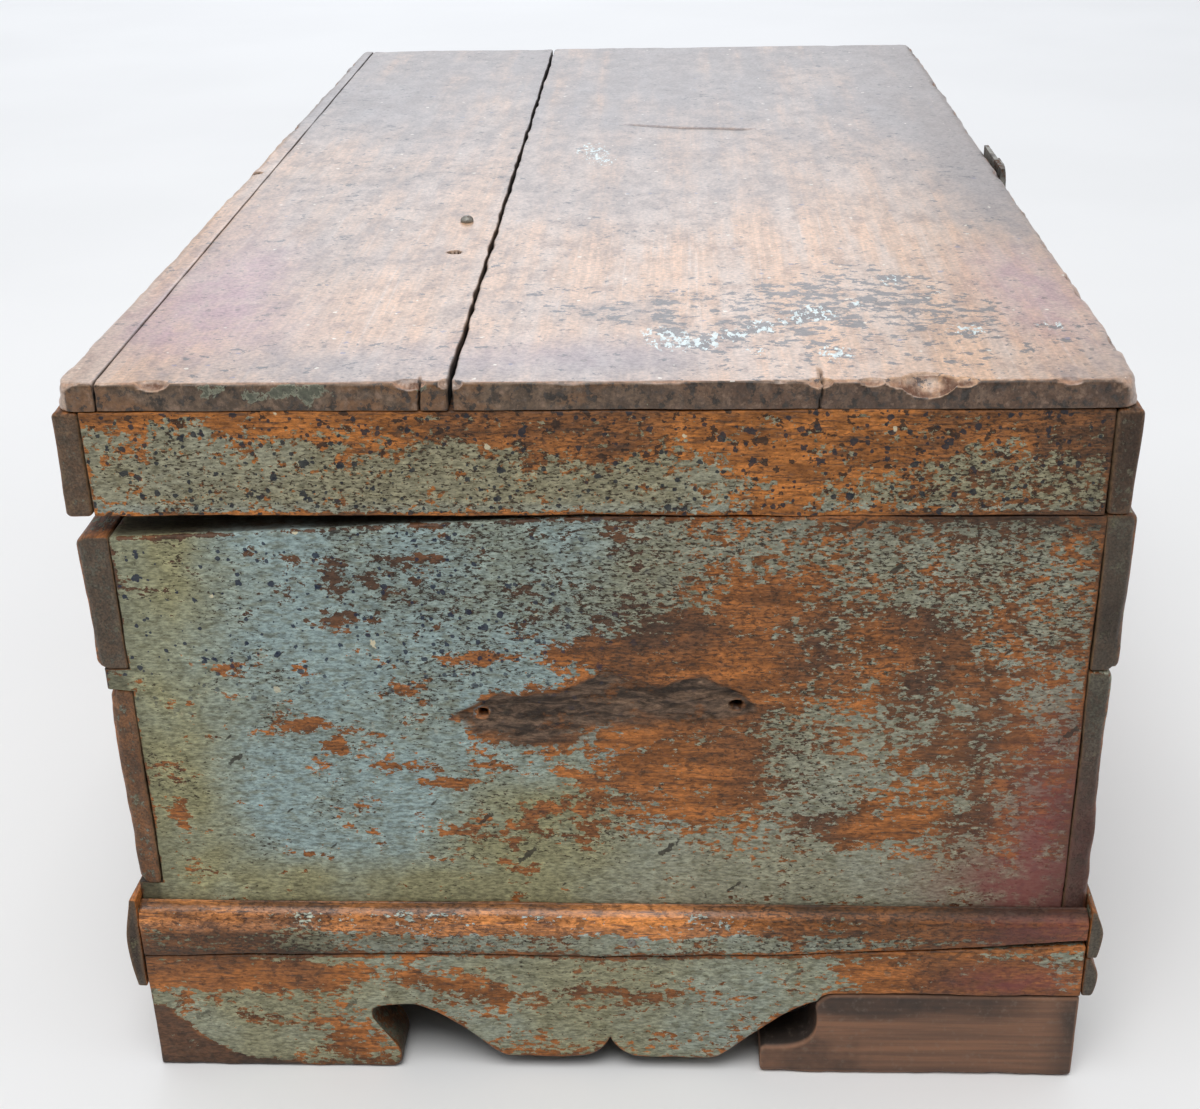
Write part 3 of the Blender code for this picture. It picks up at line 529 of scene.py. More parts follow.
    def finish(self, colour: Socket, roughness: object, height: Socket, relief: float,
               metallic: float = 0.0, gloss: float = 0.5) -> Material:
        """Joins colour, roughness and relief to the shader.

        Args:
            colour: Base colour.
            roughness: Roughness, a socket or one number.
            height: Relief from 0 to 1.
            relief: What a relief of 1 is in metres.
            metallic: How metallic it is all over.
            gloss: Specular level all over.

        Returns:
            The finished material.
        """
        bump = self.node("ShaderNodeBump", Strength=1.0, Distance=relief, Height=height)
        for label, source in (("Base Color", colour), ("Roughness", roughness), ("Normal", bump),
                              ("Metallic", metallic), ("Specular IOR Level", gloss)):
            self.feed(self.shader.inputs[label], source)
        return self.material


def shade(colour: Colour, share: float) -> Colour:
    """A colour made darker or lighter by a factor."""
    return tuple(share * part for part in colour)


@dataclass(frozen=True)
class FlakedPaint:
    """Old distemper paint that flakes off worn wood, with dirty patches and painted shade, stains, drops, nicks and
    bare end grain.

    Two noises make a score, one for hand-sized patches and one for flakes along the fibres. Paint stays where
    the score is above a limit, which rises from -1.9 to 1.9 spreads of the score with the field "bare".
    """

    name: str
    grain: Grain
    patch: Pair = (58.0, 100.0)
    streak: Pair = (260.0, 520.0)
    relief: float = 0.00035
    drop_share: float = 0.24
    cool: Colour = (0.292, 0.380, 0.374)
    warm: Colour = (0.305, 0.290, 0.160)
    drab: Colour = (0.315, 0.312, 0.246)
    wood: Colour = (0.500, 0.176, 0.043)
    dark_wood: Colour = (0.082, 0.046, 0.029)
    grime: Colour = (0.034, 0.028, 0.022)
    stain: Colour = (0.230, 0.060, 0.055)
    # Dark colour of dirty patches, nicks and painted shade.
    scar: Colour = (0.104, 0.065, 0.042)
    end_grain: Colour = (0.076, 0.064, 0.048)
    inside: Colour = (0.230, 0.145, 0.080)
    navy: Colour = (0.012, 0.020, 0.050)
    cream: Colour = (0.72, 0.64, 0.44)
    rubbed_edge: Colour = (0.15, 0.085, 0.045)
    splinter: Colour = (0.30, 0.19, 0.12)
    dust: Colour = (0.30, 0.27, 0.22)
    thick_film: Colour = (1.22, 1.22, 1.22)
    # Painted highlight along the edges of the paint flakes.
    lip: Colour = (1.35, 1.35, 1.32)
    # Painted highlight: a pale blue-white that is multiplied in where the field polish is set.
    sheen: Colour = (1.60, 1.78, 2.25)
    drop_sizes: tuple[tuple[float, float, float], ...] = (
        (80.0, 0.05, 0.15), (150.0, 0.05, 0.20), (260.0, 0.08, 0.24))

    def wood_colour(self, r: Recipe, tone: Socket) -> Socket:
        """Bare wood: broad and fine fibres, darkened where the field "char" or a cloud says so.

        Args:
            r: The material in the making.
            tone: A broad cloud.

        Returns:
            The wood's colour.
        """
        broad = r.fibres(22.0, 150.0, 5.0, 0.66)
        fine = r.fibres(90.0, 900.0, 3.0, 0.6)
        colour = r.layers(self.wood, ((broad, 0.40, 0.62, 1.0, shade(self.wood, 0.48)),
                                      (fine, 0.52, 0.66, 0.75, self.dark_wood)))
        char = r.plus(r["char"], r.step(tone, 0.42, 0.66, -0.12, 0.45))
        return r.mix(r.least(r.most(char, 0.0), 0.94), colour, self.dark_wood)

    def paint_colour(self, r: Recipe, tone: Socket, patch: Socket, pores: Socket) -> Socket:
        """The paint film: cool to warm by the field "tint", clouded, with dark pores along the fibres.

        Args:
            r: The material in the making.
            tone: A broad cloud.
            patch: The patch noise.
            pores: 1 on a pore.

        Returns:
            The paint's colour.
        """
        tint = r.plus(r["tint"], r.step(tone, 0.3, 0.7, -0.25, 0.25))
        tint = r.least(r.most(tint, 0.0), 1.0)
        colour = r.mix(tint, self.cool, self.warm)
        colour = r.mix(r.times(r["streaky"], 0.65), colour, self.drab)
        film = r.fibres(150.0, 420.0, 4.0, 0.66)
        colour = r.mix(r.step(film, 0.44, 0.66, 0.0, 0.6), colour, shade(self.warm, 0.45))
        colour = r.mix(r.step(patch, 0.50, 0.40), colour, self.thick_film, "MULTIPLY")
        return r.mix(r.times(pores, 0.92), colour, shade(self.dark_wood, 0.45))

    def build(self) -> Material:
        """Lays out the layers, from the wood up to the drops.

        Returns:
            The material.
        """
        r = Recipe(self.name, self.grain, (self.grain.value, 2))
        patch = r.fibres(*self.patch, 8.0, 0.72)
        streak = r.fibres(*self.streak, 4.0, 0.66)
        tone = r.cloud((20.0, 20.0, 20.0), 4.0, 0.55)
        dust = r.cloud((300.0, 300.0, 300.0), 3.0, 0.6)
        speckle = r.fibres(330.0, 950.0, 3.0, 0.7)
        pore_limit = r.step(r.plus(r["pitted"], r.step(tone, 0.35, 0.65, -0.3, 0.3)), 0.0, 1.0, 0.670, 0.555)
        pore_noise = r.fibres(400.0, 1000.0, 4.0, 0.66)
        pores = r.step(r.minus(pore_noise, pore_limit), -0.005, 0.008)

        streaky = r["streaky"]
        big = r.times(r.minus(patch, 0.5), r.step(streaky, 0.0, 1.0, 12.0, 8.0))
        small = r.times(r.minus(streak, 0.5), r.step(streaky, 0.0, 1.0, 5.5, 10.5))
        worn_edge = r.step(r["rim"], 0.0028, 0.0004, 0.0, 1.6)
        limit = r.plus(r.times_plus(r["bare"], 3.8, -1.9), worn_edge)
        above = r.minus(r.plus(big, small), limit)
        paint_mask = r.step(above, -0.06, 0.06)
        # Painted highlight: the paint just inside each flake's edge is lightened, as where a raised edge catches the
        # light.
        lip = r.times(r.step(above, 0.40, 0.0), paint_mask)

        wood = self.wood_colour(r, tone)
        paint = self.paint_colour(r, tone, patch, pores)
        paint = r.mix(lip, paint, self.lip, "MULTIPLY")
        blots = r.cloud((150.0, 150.0, 210.0), 4.0, 0.6)
        wood = r.mix(r.times(r.step(blots, 0.585, 0.610), r["blots"]), wood, shade(self.dark_wood, 0.4))
        wood = r.mix(r.times(pores, 0.65), wood, shade(self.dark_wood, 0.5))
        colour = r.grit(r.mix(paint_mask, wood, paint), speckle, 0.42)

        raw = r.layers(self.end_grain, ((patch, 0.42, 0.60, 1.0, shade(self.end_grain, 1.5)),
                                        (tone, 0.45, 0.62, 0.8, shade(self.dark_wood, 0.5)),
                                        (patch, 0.56, 0.66, 0.7, shade(self.warm, 0.6))))
        raw = r.mix(r.times(r.step(r["rim"], 0.0022, 0.0003), r.step(tone, 0.38, 0.58, 0.1, 0.8)),
                    raw, self.rubbed_edge)
        colour = r.mix(r["end"], colour, r.grit(raw, speckle, 0.4))
        stained = r.times(r["stain"], r.step(patch, 0.38, 0.56, 0.35, 1.0))
        colour = r.mix(r.times(stained, 0.88), colour, self.stain)
        # Painted highlight where the field polish is set; the same field lowers the roughness below.
        colour = r.mix(r["polish"], colour, self.sheen, "MULTIPLY")
        # The field grime darkens the colour: dirty patches and joints, and painted shade under the lid and under the
        # aprons' scrolls.
        dirt = r.times(r["grime"], r.step(tone, 0.3, 0.65, 0.6, 1.15))
        colour = r.mix(r.least(dirt, 0.95), colour, self.grime)
        fibres = r.fibres(60.0, 240.0, 5.0, 0.68, 0.8)
        torn = r.layers(shade(self.scar, 0.4), ((fibres, 0.42, 0.60, 1.0, shade(self.scar, 1.5)),
                                                (fibres, 0.62, 0.68, 0.7, self.splinter),
                                                (patch, 0.55, 0.62, 0.6, shade(self.wood, 0.45))))
        # Torn wood in the handle's hollow; its strength also carries painted shadow under the hollow's upper edge.
        colour = r.mix(r["scar"], colour, r.grit(torn, speckle, 0.45))
        fibre = r.fibres(11.0, 330.0, 6.0, 0.62)
        bare = r.layers(self.inside, ((fibre, 0.34, 0.67, 1.0, shade(self.inside, 0.5)),
                                      (tone, 0.45, 0.70, 0.6, shade(self.inside, 0.35))))
        colour = r.mix(r["inside"], colour, bare)

        nick = r.dots(46.0, 0.03, 0.10, 0.26, (0.40, 1.6), 0.75, dust)
        colour = r.mix(r.times(nick, r.times(r["nicked"], 0.85)), colour, self.grime)
        covered = r.most(r["end"], r["inside"])
        wet = r.times(r["drops"], r.minus(1.0, covered))
        for sizes in self.drop_sizes:
            drop = r.dots(*sizes, self.drop_share, ragged=dust)
            colour = r.mix(r.times(r.times(drop, wet), 0.88), colour, self.navy)
        light = r.times(r.dots(44.0, 0.03, 0.065, 0.22, (1.0, 0.75), 0.5, dust), wet)
        colour = r.mix(r.times(light, 0.9), colour, self.cream)
        colour = r.mix(r.step(dust, 0.46, 0.78, 0.0, 0.08), colour, self.dust)
        # Near-black of cracks, and painted shade in the nail holes.
        colour = r.mix(r["crack"], colour, CRACK_AND_HOLE_SHADE)

        roughness = r.plus(r.step(paint_mask, 0.0, 1.0, 0.46, 0.66), r.step(dust, 0.3, 0.7, -0.06, 0.10))
        roughness = r.times_plus(r["polish"], -0.30, roughness)
        height = r.times_plus(paint_mask, 0.8, r.times(streak, 0.5))
        height = r.minus(height, r.times(pores, 0.35))
        return r.finish(colour, roughness, height, self.relief, gloss=0.28)


@dataclass(frozen=True)
class WornTop:
    """The lid's top: rubbed, waxed wood with a dull film, grey flecks of old finish, pale paint and stains."""

    name: str
    grain: Grain
    wood: Colour = (0.585, 0.350, 0.205)
    pale: Colour = (0.465, 0.380, 0.330)
    brown: Colour = (0.260, 0.150, 0.105)
    film: Colour = (0.222, 0.192, 0.192)
    flecks: Colour = (0.085, 0.088, 0.098)
    paint: Colour = (0.60, 0.70, 0.71)
    stain: Colour = (0.370, 0.222, 0.258)
    end_grain: Colour = (0.088, 0.058, 0.037)
    blush: Colour = (0.080, 0.037, 0.031)
    fresh: Colour = (0.270, 0.170, 0.120)
    torn: Colour = (0.165, 0.080, 0.050)
    worn_edge: Colour = (0.44, 0.23, 0.13)
    # Near-black of cracks and joints, and painted shade in the nail hole.
    hollow: Colour = (0.010, 0.008, 0.006)
    dust: Colour = (0.45, 0.38, 0.33)
    dark_drop: Colour = (0.085, 0.068, 0.062)
    light_drop: Colour = (0.72, 0.68, 0.60)
    blue_drop: Colour = (0.075, 0.105, 0.24)
    warm_end: Colour = (0.225, 0.108, 0.046)
    black_end: Colour = (0.020, 0.017, 0.015)
    pale_end: Colour = (0.25, 0.165, 0.115)
    crust_rim: Colour = (0.22, 0.23, 0.165)
    crust: Colour = (0.085, 0.090, 0.064)
    wax_roughness: float = 0.30
    wax_index: float = 1.55
    wax: float = 0.55

    def rubbed_wood(self, r: Recipe, mottle: Socket, tone: Socket) -> Socket:
        """Waxed wood under a dull film, whose share is the field "film" plus clouds.

        Args:
            r: The material in the making.
            mottle: Finger-wide noise.
            tone: Hand-wide noise.

        Returns:
            The wood's colour.
        """
        fibre = r.fibres(14.0, 420.0, 4.0, 0.6)
        rubbed = r.fibres(5.0, 48.0, 5.0, 0.65)
        scratch = r.fibres(9.0, 520.0, 2.0, 0.5)
        colour = r.layers(self.wood, ((fibre, 0.38, 0.64, 1.0, shade(self.wood, 0.78)),
                                      (rubbed, 0.42, 0.62, 0.6, self.pale),
                                      (scratch, 0.64, 0.70, 0.35, shade(self.pale, 1.25)),
                                      (mottle, 0.48, 0.64, 0.55, self.brown)))
        veil = r.times_plus(r.minus(tone, 0.5), 0.7, r["film"])
        veil = r.times_plus(r.minus(mottle, 0.5), 1.0, veil)
        return r.mix(r.step(veil, 0.0, 1.0, 0.0, 0.95), colour, self.film)

    def end_face(self, r: Recipe, mottle: Socket, fleck: Socket) -> Socket:
        """Dirty end grain with black spots and rings of old paint crust.

        Args:
            r: The material in the making.
            mottle: Finger-wide noise.
            fleck: Fleck-sized noise.

        Returns:
            The end's colour.
        """
        colour = r.mix(r.step(mottle, 0.40, 0.62), self.end_grain, shade(self.end_grain, 2.1))
        warm = r.step(r.cloud((34.0, 34.0, 80.0), 4.0, 0.6), 0.46, 0.60, 0.0, 0.7)
        warm = r.times(warm, r.step(r["blush"], 0.0, 1.0, 1.0, 0.3))
        colour = r.mix(warm, colour, self.warm_end)
        colour = r.mix(r.times(r["blush"], 0.3), colour, self.blush)
        spots = r.cloud((210.0, 210.0, 210.0), 5.0, 0.66)
        crust = r.times_plus(r["crust"], 0.26, fleck)
        return r.layers(colour, ((mottle, 0.56, 0.65, 0.75, self.black_end), (spots, 0.52, 0.60, 0.9, self.black_end),
                                 (spots, 0.45, 0.36, 0.65, self.pale_end), (crust, 0.690, 0.705, 0.9, self.crust_rim),
                                 (crust, 0.730, 0.76, 0.85, self.crust)))

    def build(self) -> Material:
        """Lays out the layers, from the wood up to the paint flecks.

        Returns:
            The material.
        """
        r = Recipe(self.name, self.grain)
        tone = r.cloud((11.0, 13.0, 13.0), 4.0, 0.6)
        mottle = r.cloud((58.0, 92.0, 92.0), 7.0, 0.72)
        fleck = r.cloud((190.0, 125.0, 125.0), 5.0, 0.68)
        shard = r.cloud((165.0, 340.0, 340.0), 4.0, 0.70)
        dust = r.cloud((420.0, 420.0, 420.0), 2.0, 0.6)
        speckle = r.cloud((700.0, 520.0, 520.0), 3.0, 0.7)
        colour = self.rubbed_wood(r, mottle, tone)
        stained = r.times(r["stain"], r.step(mottle, 0.34, 0.60, 0.5, 1.0))
        colour = r.mix(r.times(stained, 0.85), colour, self.stain)
        flake = r["flake"]
        spots = r.times_plus(r["flecked"], 0.10, r.times_plus(flake, 0.10, fleck))
        spots = r.plus(spots, r.step(tone, 0.36, 0.64, -0.03, 0.03))
        spot_mask = r.step(spots, 0.630, 0.642)
        colour = r.mix(r.times(spot_mask, 0.88), colour, self.flecks)
        pale_mask = r.times(r.step(r.times_plus(flake, 0.11, shard), 0.590, 0.602), r.step(flake, 0.1, 0.3))
        colour = r.mix(r.times(pale_mask, 0.95), colour, self.paint)
        worn = r.times(r.step(r["rim"], 0.0022, 0.0006, 0.0, 0.8), r.step(mottle, 0.40, 0.56))
        colour = r.mix(worn, colour, self.worn_edge)
        colour = r.mix(r["end"], colour, self.end_face(r, mottle, fleck))
        under = r["under"]
        fibre = r.fibres(11.0, 330.0, 6.0, 0.62)
        colour = r.mix(under, colour, r.mix(r.step(fibre, 0.34, 0.67), BARE_LIGHT, BARE_DARK))
        splinters = r.fibres(70.0, 800.0, 3.0, 0.6)
        ripped = r.mix(r.step(splinters, 0.36, 0.52), self.fresh, self.torn)
        colour = r.mix(r["fresh"], colour, ripped)
        top = r.minus(1.0, under)
        for amount, tint, sizes in ((0.6, self.dark_drop, (150.0, 0.05, 0.17, 0.20, (0.8, 1.0))),
                                    (0.85, self.light_drop, (60.0, 0.02, 0.06, 0.28)),
                                    (0.6, self.blue_drop, (75.0, 0.03, 0.09, 0.10))):
            drop = r.times(top, r.dots(*sizes, ragged=dust))
            colour = r.mix(r.times(drop, amount), colour, tint)
        colour = r.grit(r.mix(r.step(dust, 0.45, 0.75, 0.0, 0.10), colour, self.dust), speckle, 0.28)
        colour = r.mix(r["crack"], colour, self.hollow)

        roughness = r.plus(r.step(mottle, 0.35, 0.65, 0.38, 0.52), r.times(spot_mask, 0.08))
        roughness = r.most(roughness, r.most(r["crack"], r.times(r["fresh"], 0.8)))
        height = r.times_plus(mottle, 0.35, r.times(shard, 0.12))
        height = r.times_plus(pale_mask, 0.30, r.times_plus(spot_mask, 0.10, height))
        made = r.finish(colour, roughness, height, 0.0003, gloss=0.45)
        dull = r.most(r.most(r["end"], r["fresh"]), r.most(under, r["crack"]))
        r.feed(r.shader.inputs["Coat Weight"], r.step(dull, 0.0, 1.0, self.wax, 0.0))
        r.feed(r.shader.inputs["Coat Roughness"], self.wax_roughness)
        r.feed(r.shader.inputs["Coat IOR"], self.wax_index)
        return made


@dataclass(frozen=True)
class PlainWood:
    """Unpainted wood with fibres, dirty patches and a few darker spots; a field darkens it further, which on the foot
    block's top and scoop is painted shade.
    """

    name: str
    grain: Grain
    light: Colour
    dark: Colour
    # Dark colour of dirty patches and of painted shade.
    dirt: Colour = (0.035, 0.028, 0.024)
    dust: Colour = (0.32, 0.27, 0.22)
    roughness: float = 0.66

    def build(self) -> Material:
        """Lays out fibres, clouds of tone and dirt.

        Returns:
            The material.
        """
        r = Recipe(self.name, self.grain)
        fibre = r.fibres(11.0, 330.0, 6.0, 0.62)
        band = r.fibres(4.0, 55.0, 3.0, 0.5, 0.6)
        tone = r.cloud((26.0, 26.0, 26.0), 4.0, 0.6)
        dust = r.cloud((300.0, 300.0, 300.0), 3.0, 0.6)
        colour = r.layers(self.light, ((fibre, 0.34, 0.67, 1.0, self.dark), (band, 0.45, 0.7, 0.6, self.dark),
                                       (tone, 0.5, 0.72, 0.6, self.dirt)))
        # The field grime darkens the wood: the bottom boards' undersides, and painted shade on the foot block's top
        # and scoop.
        grime = r.times(r["grime"], r.step(tone, 0.25, 0.65, 0.6, 1.1))
        colour = r.mix(r.least(grime, 0.95), colour, self.dirt)
        colour = r.mix(r.step(dust, 0.5, 0.8, 0.0, 0.25), colour, self.dust)
        worn = r.step(r["rim"], 0.0025, 0.0002, 0.0, 0.45)
        colour = r.mix(r.times(worn, r.step(tone, 0.3, 0.6)), colour, shade(self.light, 1.5))
        colour = r.mix(r["crack"], colour, CRACK_AND_HOLE_SHADE)
        roughness = r.step(dust, 0.3, 0.7, self.roughness - 0.08, self.roughness + 0.1)
        return r.finish(colour, roughness, fibre, 0.0004, gloss=0.4)


@dataclass(frozen=True)
class RustedIron:
    """Hand-forged iron: dark scale, rust in patches, rubbed bright a little."""

    name: str
    scale: Colour = (0.115, 0.110, 0.100)
    rust: Colour = (0.135, 0.062, 0.030)
    rubbed: Colour = (0.30, 0.29, 0.26)

    def build(self) -> Material:
        """Lays out scale, rust and rubbed metal.

        Returns:
            The material.
        """
        r = Recipe(self.name)
        tone = r.cloud((60.0, 60.0, 60.0), 5.0, 0.6)
        pits = r.cloud((520.0, 520.0, 520.0), 4.0, 0.65)
        colour = r.mix(r.step(tone, 0.42, 0.58), self.rubbed, self.scale)
        rusty = r.step(r.plus(r.times(tone, 0.5), r.times(pits, 0.5)), 0.50, 0.58)
        colour = r.mix(r.times(rusty, 0.8), colour, self.rust)
        roughness = r.step(rusty, 0.0, 1.0, 0.48, 0.82)
        return r.finish(colour, roughness, pits, 0.0003, metallic=0.55, gloss=0.5)


@dataclass(frozen=True)
class PaleFloor:
    """A plain pale studio floor."""

    name: str
    tone: Colour

    def build(self) -> Material:
        """Lays out a faint cloud of tone.

        Returns:
            The material.
        """
        r = Recipe(self.name)
        cloud = r.cloud((2.0, 2.0, 2.0), 3.0, 0.5)
        colour = r.mix(r.step(cloud, 0.3, 0.7), self.tone, shade(self.tone, 0.97))
        return r.finish(colour, 0.75, cloud, 0.0001, gloss=0.3)


@dataclass
class Board:
    """A sawn board with worn edges.

    It is a box grid on the board's box. Where the board is rebated, notched or tapered, the box is another
    one at each point, and the grid is stretched to it before its edges are rounded.
    """

    low: Array
    high: Array
    step: tuple[float, float, float]
    radius: float = 0.0016
    edge: float = 0.005
    seed: int = 1
    wander: float = 0.0003
    swell: float = 0.00025
    extra: tuple[Vec, Vec, Vec] = ((), (), ())
    limits: Limits | None = None
    radii: Callable[[Array], Array] | None = None

    def skin(self) -> WornSkin:
        """Makes the board's surface: stretched box grid, rounded edges, then a low swell along the outward way.

        Returns:
            The worn skin.
        """
        low, high = np.asarray(self.low, float), np.asarray(self.high, float)
        sides = [knots(high[i] - low[i], self.step[i], self.edge, np.asarray(self.extra[i], float) - low[i])
                 for i in range(3)]
        grid = BoxGrid(*sides)
        start = grid.points + low
        share = grid.points / (high - low)
        lows, highs = self.limits(start) if self.limits else same_box(start, low, high)
        for axis in range(3):
            flat = start.copy()
            flat[:, axis] = 0.0
            lows[:, axis] += self.wander * noise(flat, 0.05, self.seed + 11 * axis)
            highs[:, axis] += self.wander * noise(flat, 0.05, self.seed + 11 * axis + 5)
        placed = lows + share * (highs - lows)
        radius = self.radii(start) if self.radii else np.full(len(start), self.radius)
        radius = radius * (1.0 + 0.55 * noise(start, 0.018, self.seed + 40))
        points, outward, rim = round_edges(placed, lows, highs, np.maximum(radius, 0.0003))
        points = points + outward * (self.swell * noise(points, 0.045, self.seed + 60, 4))[:, None]
        return WornSkin(points, outward, rim, grid.quads)


def nicks(low: Array, high: Array, lean: Vec, count: int, size: Pair, seed: int, inset: float = 0.0) -> ArrayPair:
    """Scatters small chips along one edge of a box.

    Args:
        low: The box's lowest corner.
        high: Its highest corner.
        lean: The way out of the wood at the edge, of about unit length, and 0 along the edge.
        count: How many chips.
        size: Smallest and largest radius.
        seed: Which scatter to use.
        inset: How far inside the box the edge lies.

    Returns:
        Centres and radii of the balls for bite().
    """
    lean = np.asarray(lean, float)
    start = np.where(lean > 0, high - inset, np.where(lean < 0, low + inset, low))
    run = np.where(lean == 0, high - low, 0.0)
    random = np.random.default_rng(seed)
    share = random.random((count, 1))
    radius = size[0] + (size[1] - size[0]) * random.random((count, 1)) ** 2
    depth = radius * (0.16 + 0.22 * random.random((count, 1)))
    stretch = 1.0 + run / run.max() * random.uniform(0.2, 1.4, (count, 1))
    return start + share * run + lean * (radius - depth), radius * stretch


def lapped(low: Array, high: Array, at: float, cut: float, out: int, notch: Pair | None, start: Array) -> ArrayPair:
    """A long board's box at each point: past a length it is thinner, where it laps the board that meets it.

    Args:
        low: The board's lowest corner.
        high: Its highest corner.
        at: Distance from the middle at which the lap starts.
        cut: The y to which the inner side is cut back there.
        out: 1 where the board's outer side is its back, and -1 where it is its front.
        notch: Lowest and highest z past the same length.
        start: (N, 3) points of the plain box.

    Returns:
        Lowest and highest corner for each point.
    """
    lows, highs = same_box(start, low, high)
    ends = np.abs(start[:, 0]) > at
    (lows if out > 0 else highs)[ends, 1] = cut
    if notch:
        lows[ends, 2], highs[ends, 2] = notch
    return lows, highs


class Wear(SimpleNamespace):
    """What a finish reads from a board, by name: values for each point, or one for the whole board."""


def weather(skin: WornSkin, seed: int, bare: float, tint: float, drops: float = 0.2) -> Wear:
    """A painted board's wear where no spots are listed: noise of a hand's breadth.

    Args:
        skin: The board.
        seed: Which noise to use.
        bare: Mean share of lost paint.
        tint: Mean warmth of the paint.
        drops: How many drops show.

    Returns:
        Its wear.
    """
    broad = skin.noise(0.11, seed, 4)
    return Wear(
        bare=unit(bare + 0.32 * broad),
        tint=unit(tint + 0.4 * skin.noise(0.16, seed + 3, 3)),
        grime=unit(0.25 * skin.noise(0.09, seed + 7, 3)),
        char=unit(0.25 + 0.45 * skin.noise(0.10, seed + 9, 3)),
        drops=drops,
        streaky=0.6,
        pitted=unit(0.5 + 0.5 * skin.noise(0.08, seed + 13, 3)),
        nicked=0.6,
        blots=0.5,
        rim=skin.rim,
    )


@dataclass(frozen=True)
class Coat:
    """A finished material and its slot."""

    material: Material
    slot: Slot


@dataclass
class Finishes:
    """Every finish of the chest, made once."""

    paint_across: Coat
    paint_along: Coat
    crust_across: Coat
    crust_along: Coat
    top: Coat
    bare_along: Coat
    bare_across: Coat
    block: Coat
    iron: Coat

    @classmethod
    def make(cls) -> "Finishes":
        """Builds the materials.

        Returns:
            The finishes.
        """
        crust = {"patch": (85.0, 150.0), "streak": (300.0, 420.0), "relief": 0.0012, "drop_share": 0.36,
                 "cool": (0.325, 0.370, 0.320), "warm": (0.300, 0.265, 0.142), "wood": (0.540, 0.195, 0.044),
                 "navy": (0.016, 0.021, 0.032)}
        block = (0.280, 0.138, 0.078), (0.165, 0.090, 0.058)
        made = (
            (FlakedPaint("flaked_paint_across", Grain.ACROSS), Slot.PAINT),
            (FlakedPaint("flaked_paint_along", Grain.ALONG), Slot.PAINT),
            (FlakedPaint("crusted_paint_across", Grain.ACROSS, **crust), Slot.SKIRT),
            (FlakedPaint("crusted_paint_along", Grain.ALONG, **crust), Slot.SKIRT),
            (WornTop("worn_lid_top", Grain.ALONG), Slot.TOP),
            (PlainWood("bare_wood_along", Grain.ALONG, BARE_LIGHT, BARE_DARK), Slot.BARE),
            (PlainWood("bare_wood_across", Grain.ACROSS, BARE_LIGHT, BARE_DARK), Slot.BARE),
            (PlainWood("foot_block_wood", Grain.ACROSS, *block), Slot.BLOCK),
            (RustedIron("wrought_iron"), Slot.IRON),
        )
        return cls(*(Coat(finish.build(), slot) for finish, slot in made))


def corners(node: str) -> ArrayPair:
    """A CAD node's lowest and highest corner as arrays."""
    low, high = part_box(node)
    return np.array(low), np.array(high)


@dataclass
class SubAssembly:
    """Pieces that share the finishes and ride on one body."""

    finishes: Finishes
    body: ClassVar[Body] = Body.CHEST

    def dress(self, node: str, skin: WornSkin, coat: Coat, wear: Wear) -> None:
        """Makes a piece of a skin and lets it stand for its CAD node.

        Args:
            node: The CAD node.
            skin: The worn skin.
            coat: Its finish.
            wear: Values that the finish reads.
        """
        fields = {"rim": skin.rim, **vars(wear)}
        piece = make_piece(f"worn_{node}", skin.points, skin.quads, coat.material, self.body, fields)
        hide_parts(node)

    def plain(self, nodes: Sequence[str], step: tuple[float, float, float], radius: float, seed: int, coat: Coat,
              grime: float = 0.0) -> None:
        """Unpainted boards without large wear.

        Args:
            nodes: The CAD nodes.
            step: Spacing of their grids.
            radius: Radius of their edges.
            seed: Which noise the first one uses.
            coat: Their finish.
            grime: How much darker their undersides are.
        """
        for index, node in enumerate(nodes):
            skin = Board(*corners(node), step, radius, seed=seed + index).skin()
            self.dress(node, skin, coat, Wear(grime=grime * skin.facing((0, 0, -1))) if grime else Wear())


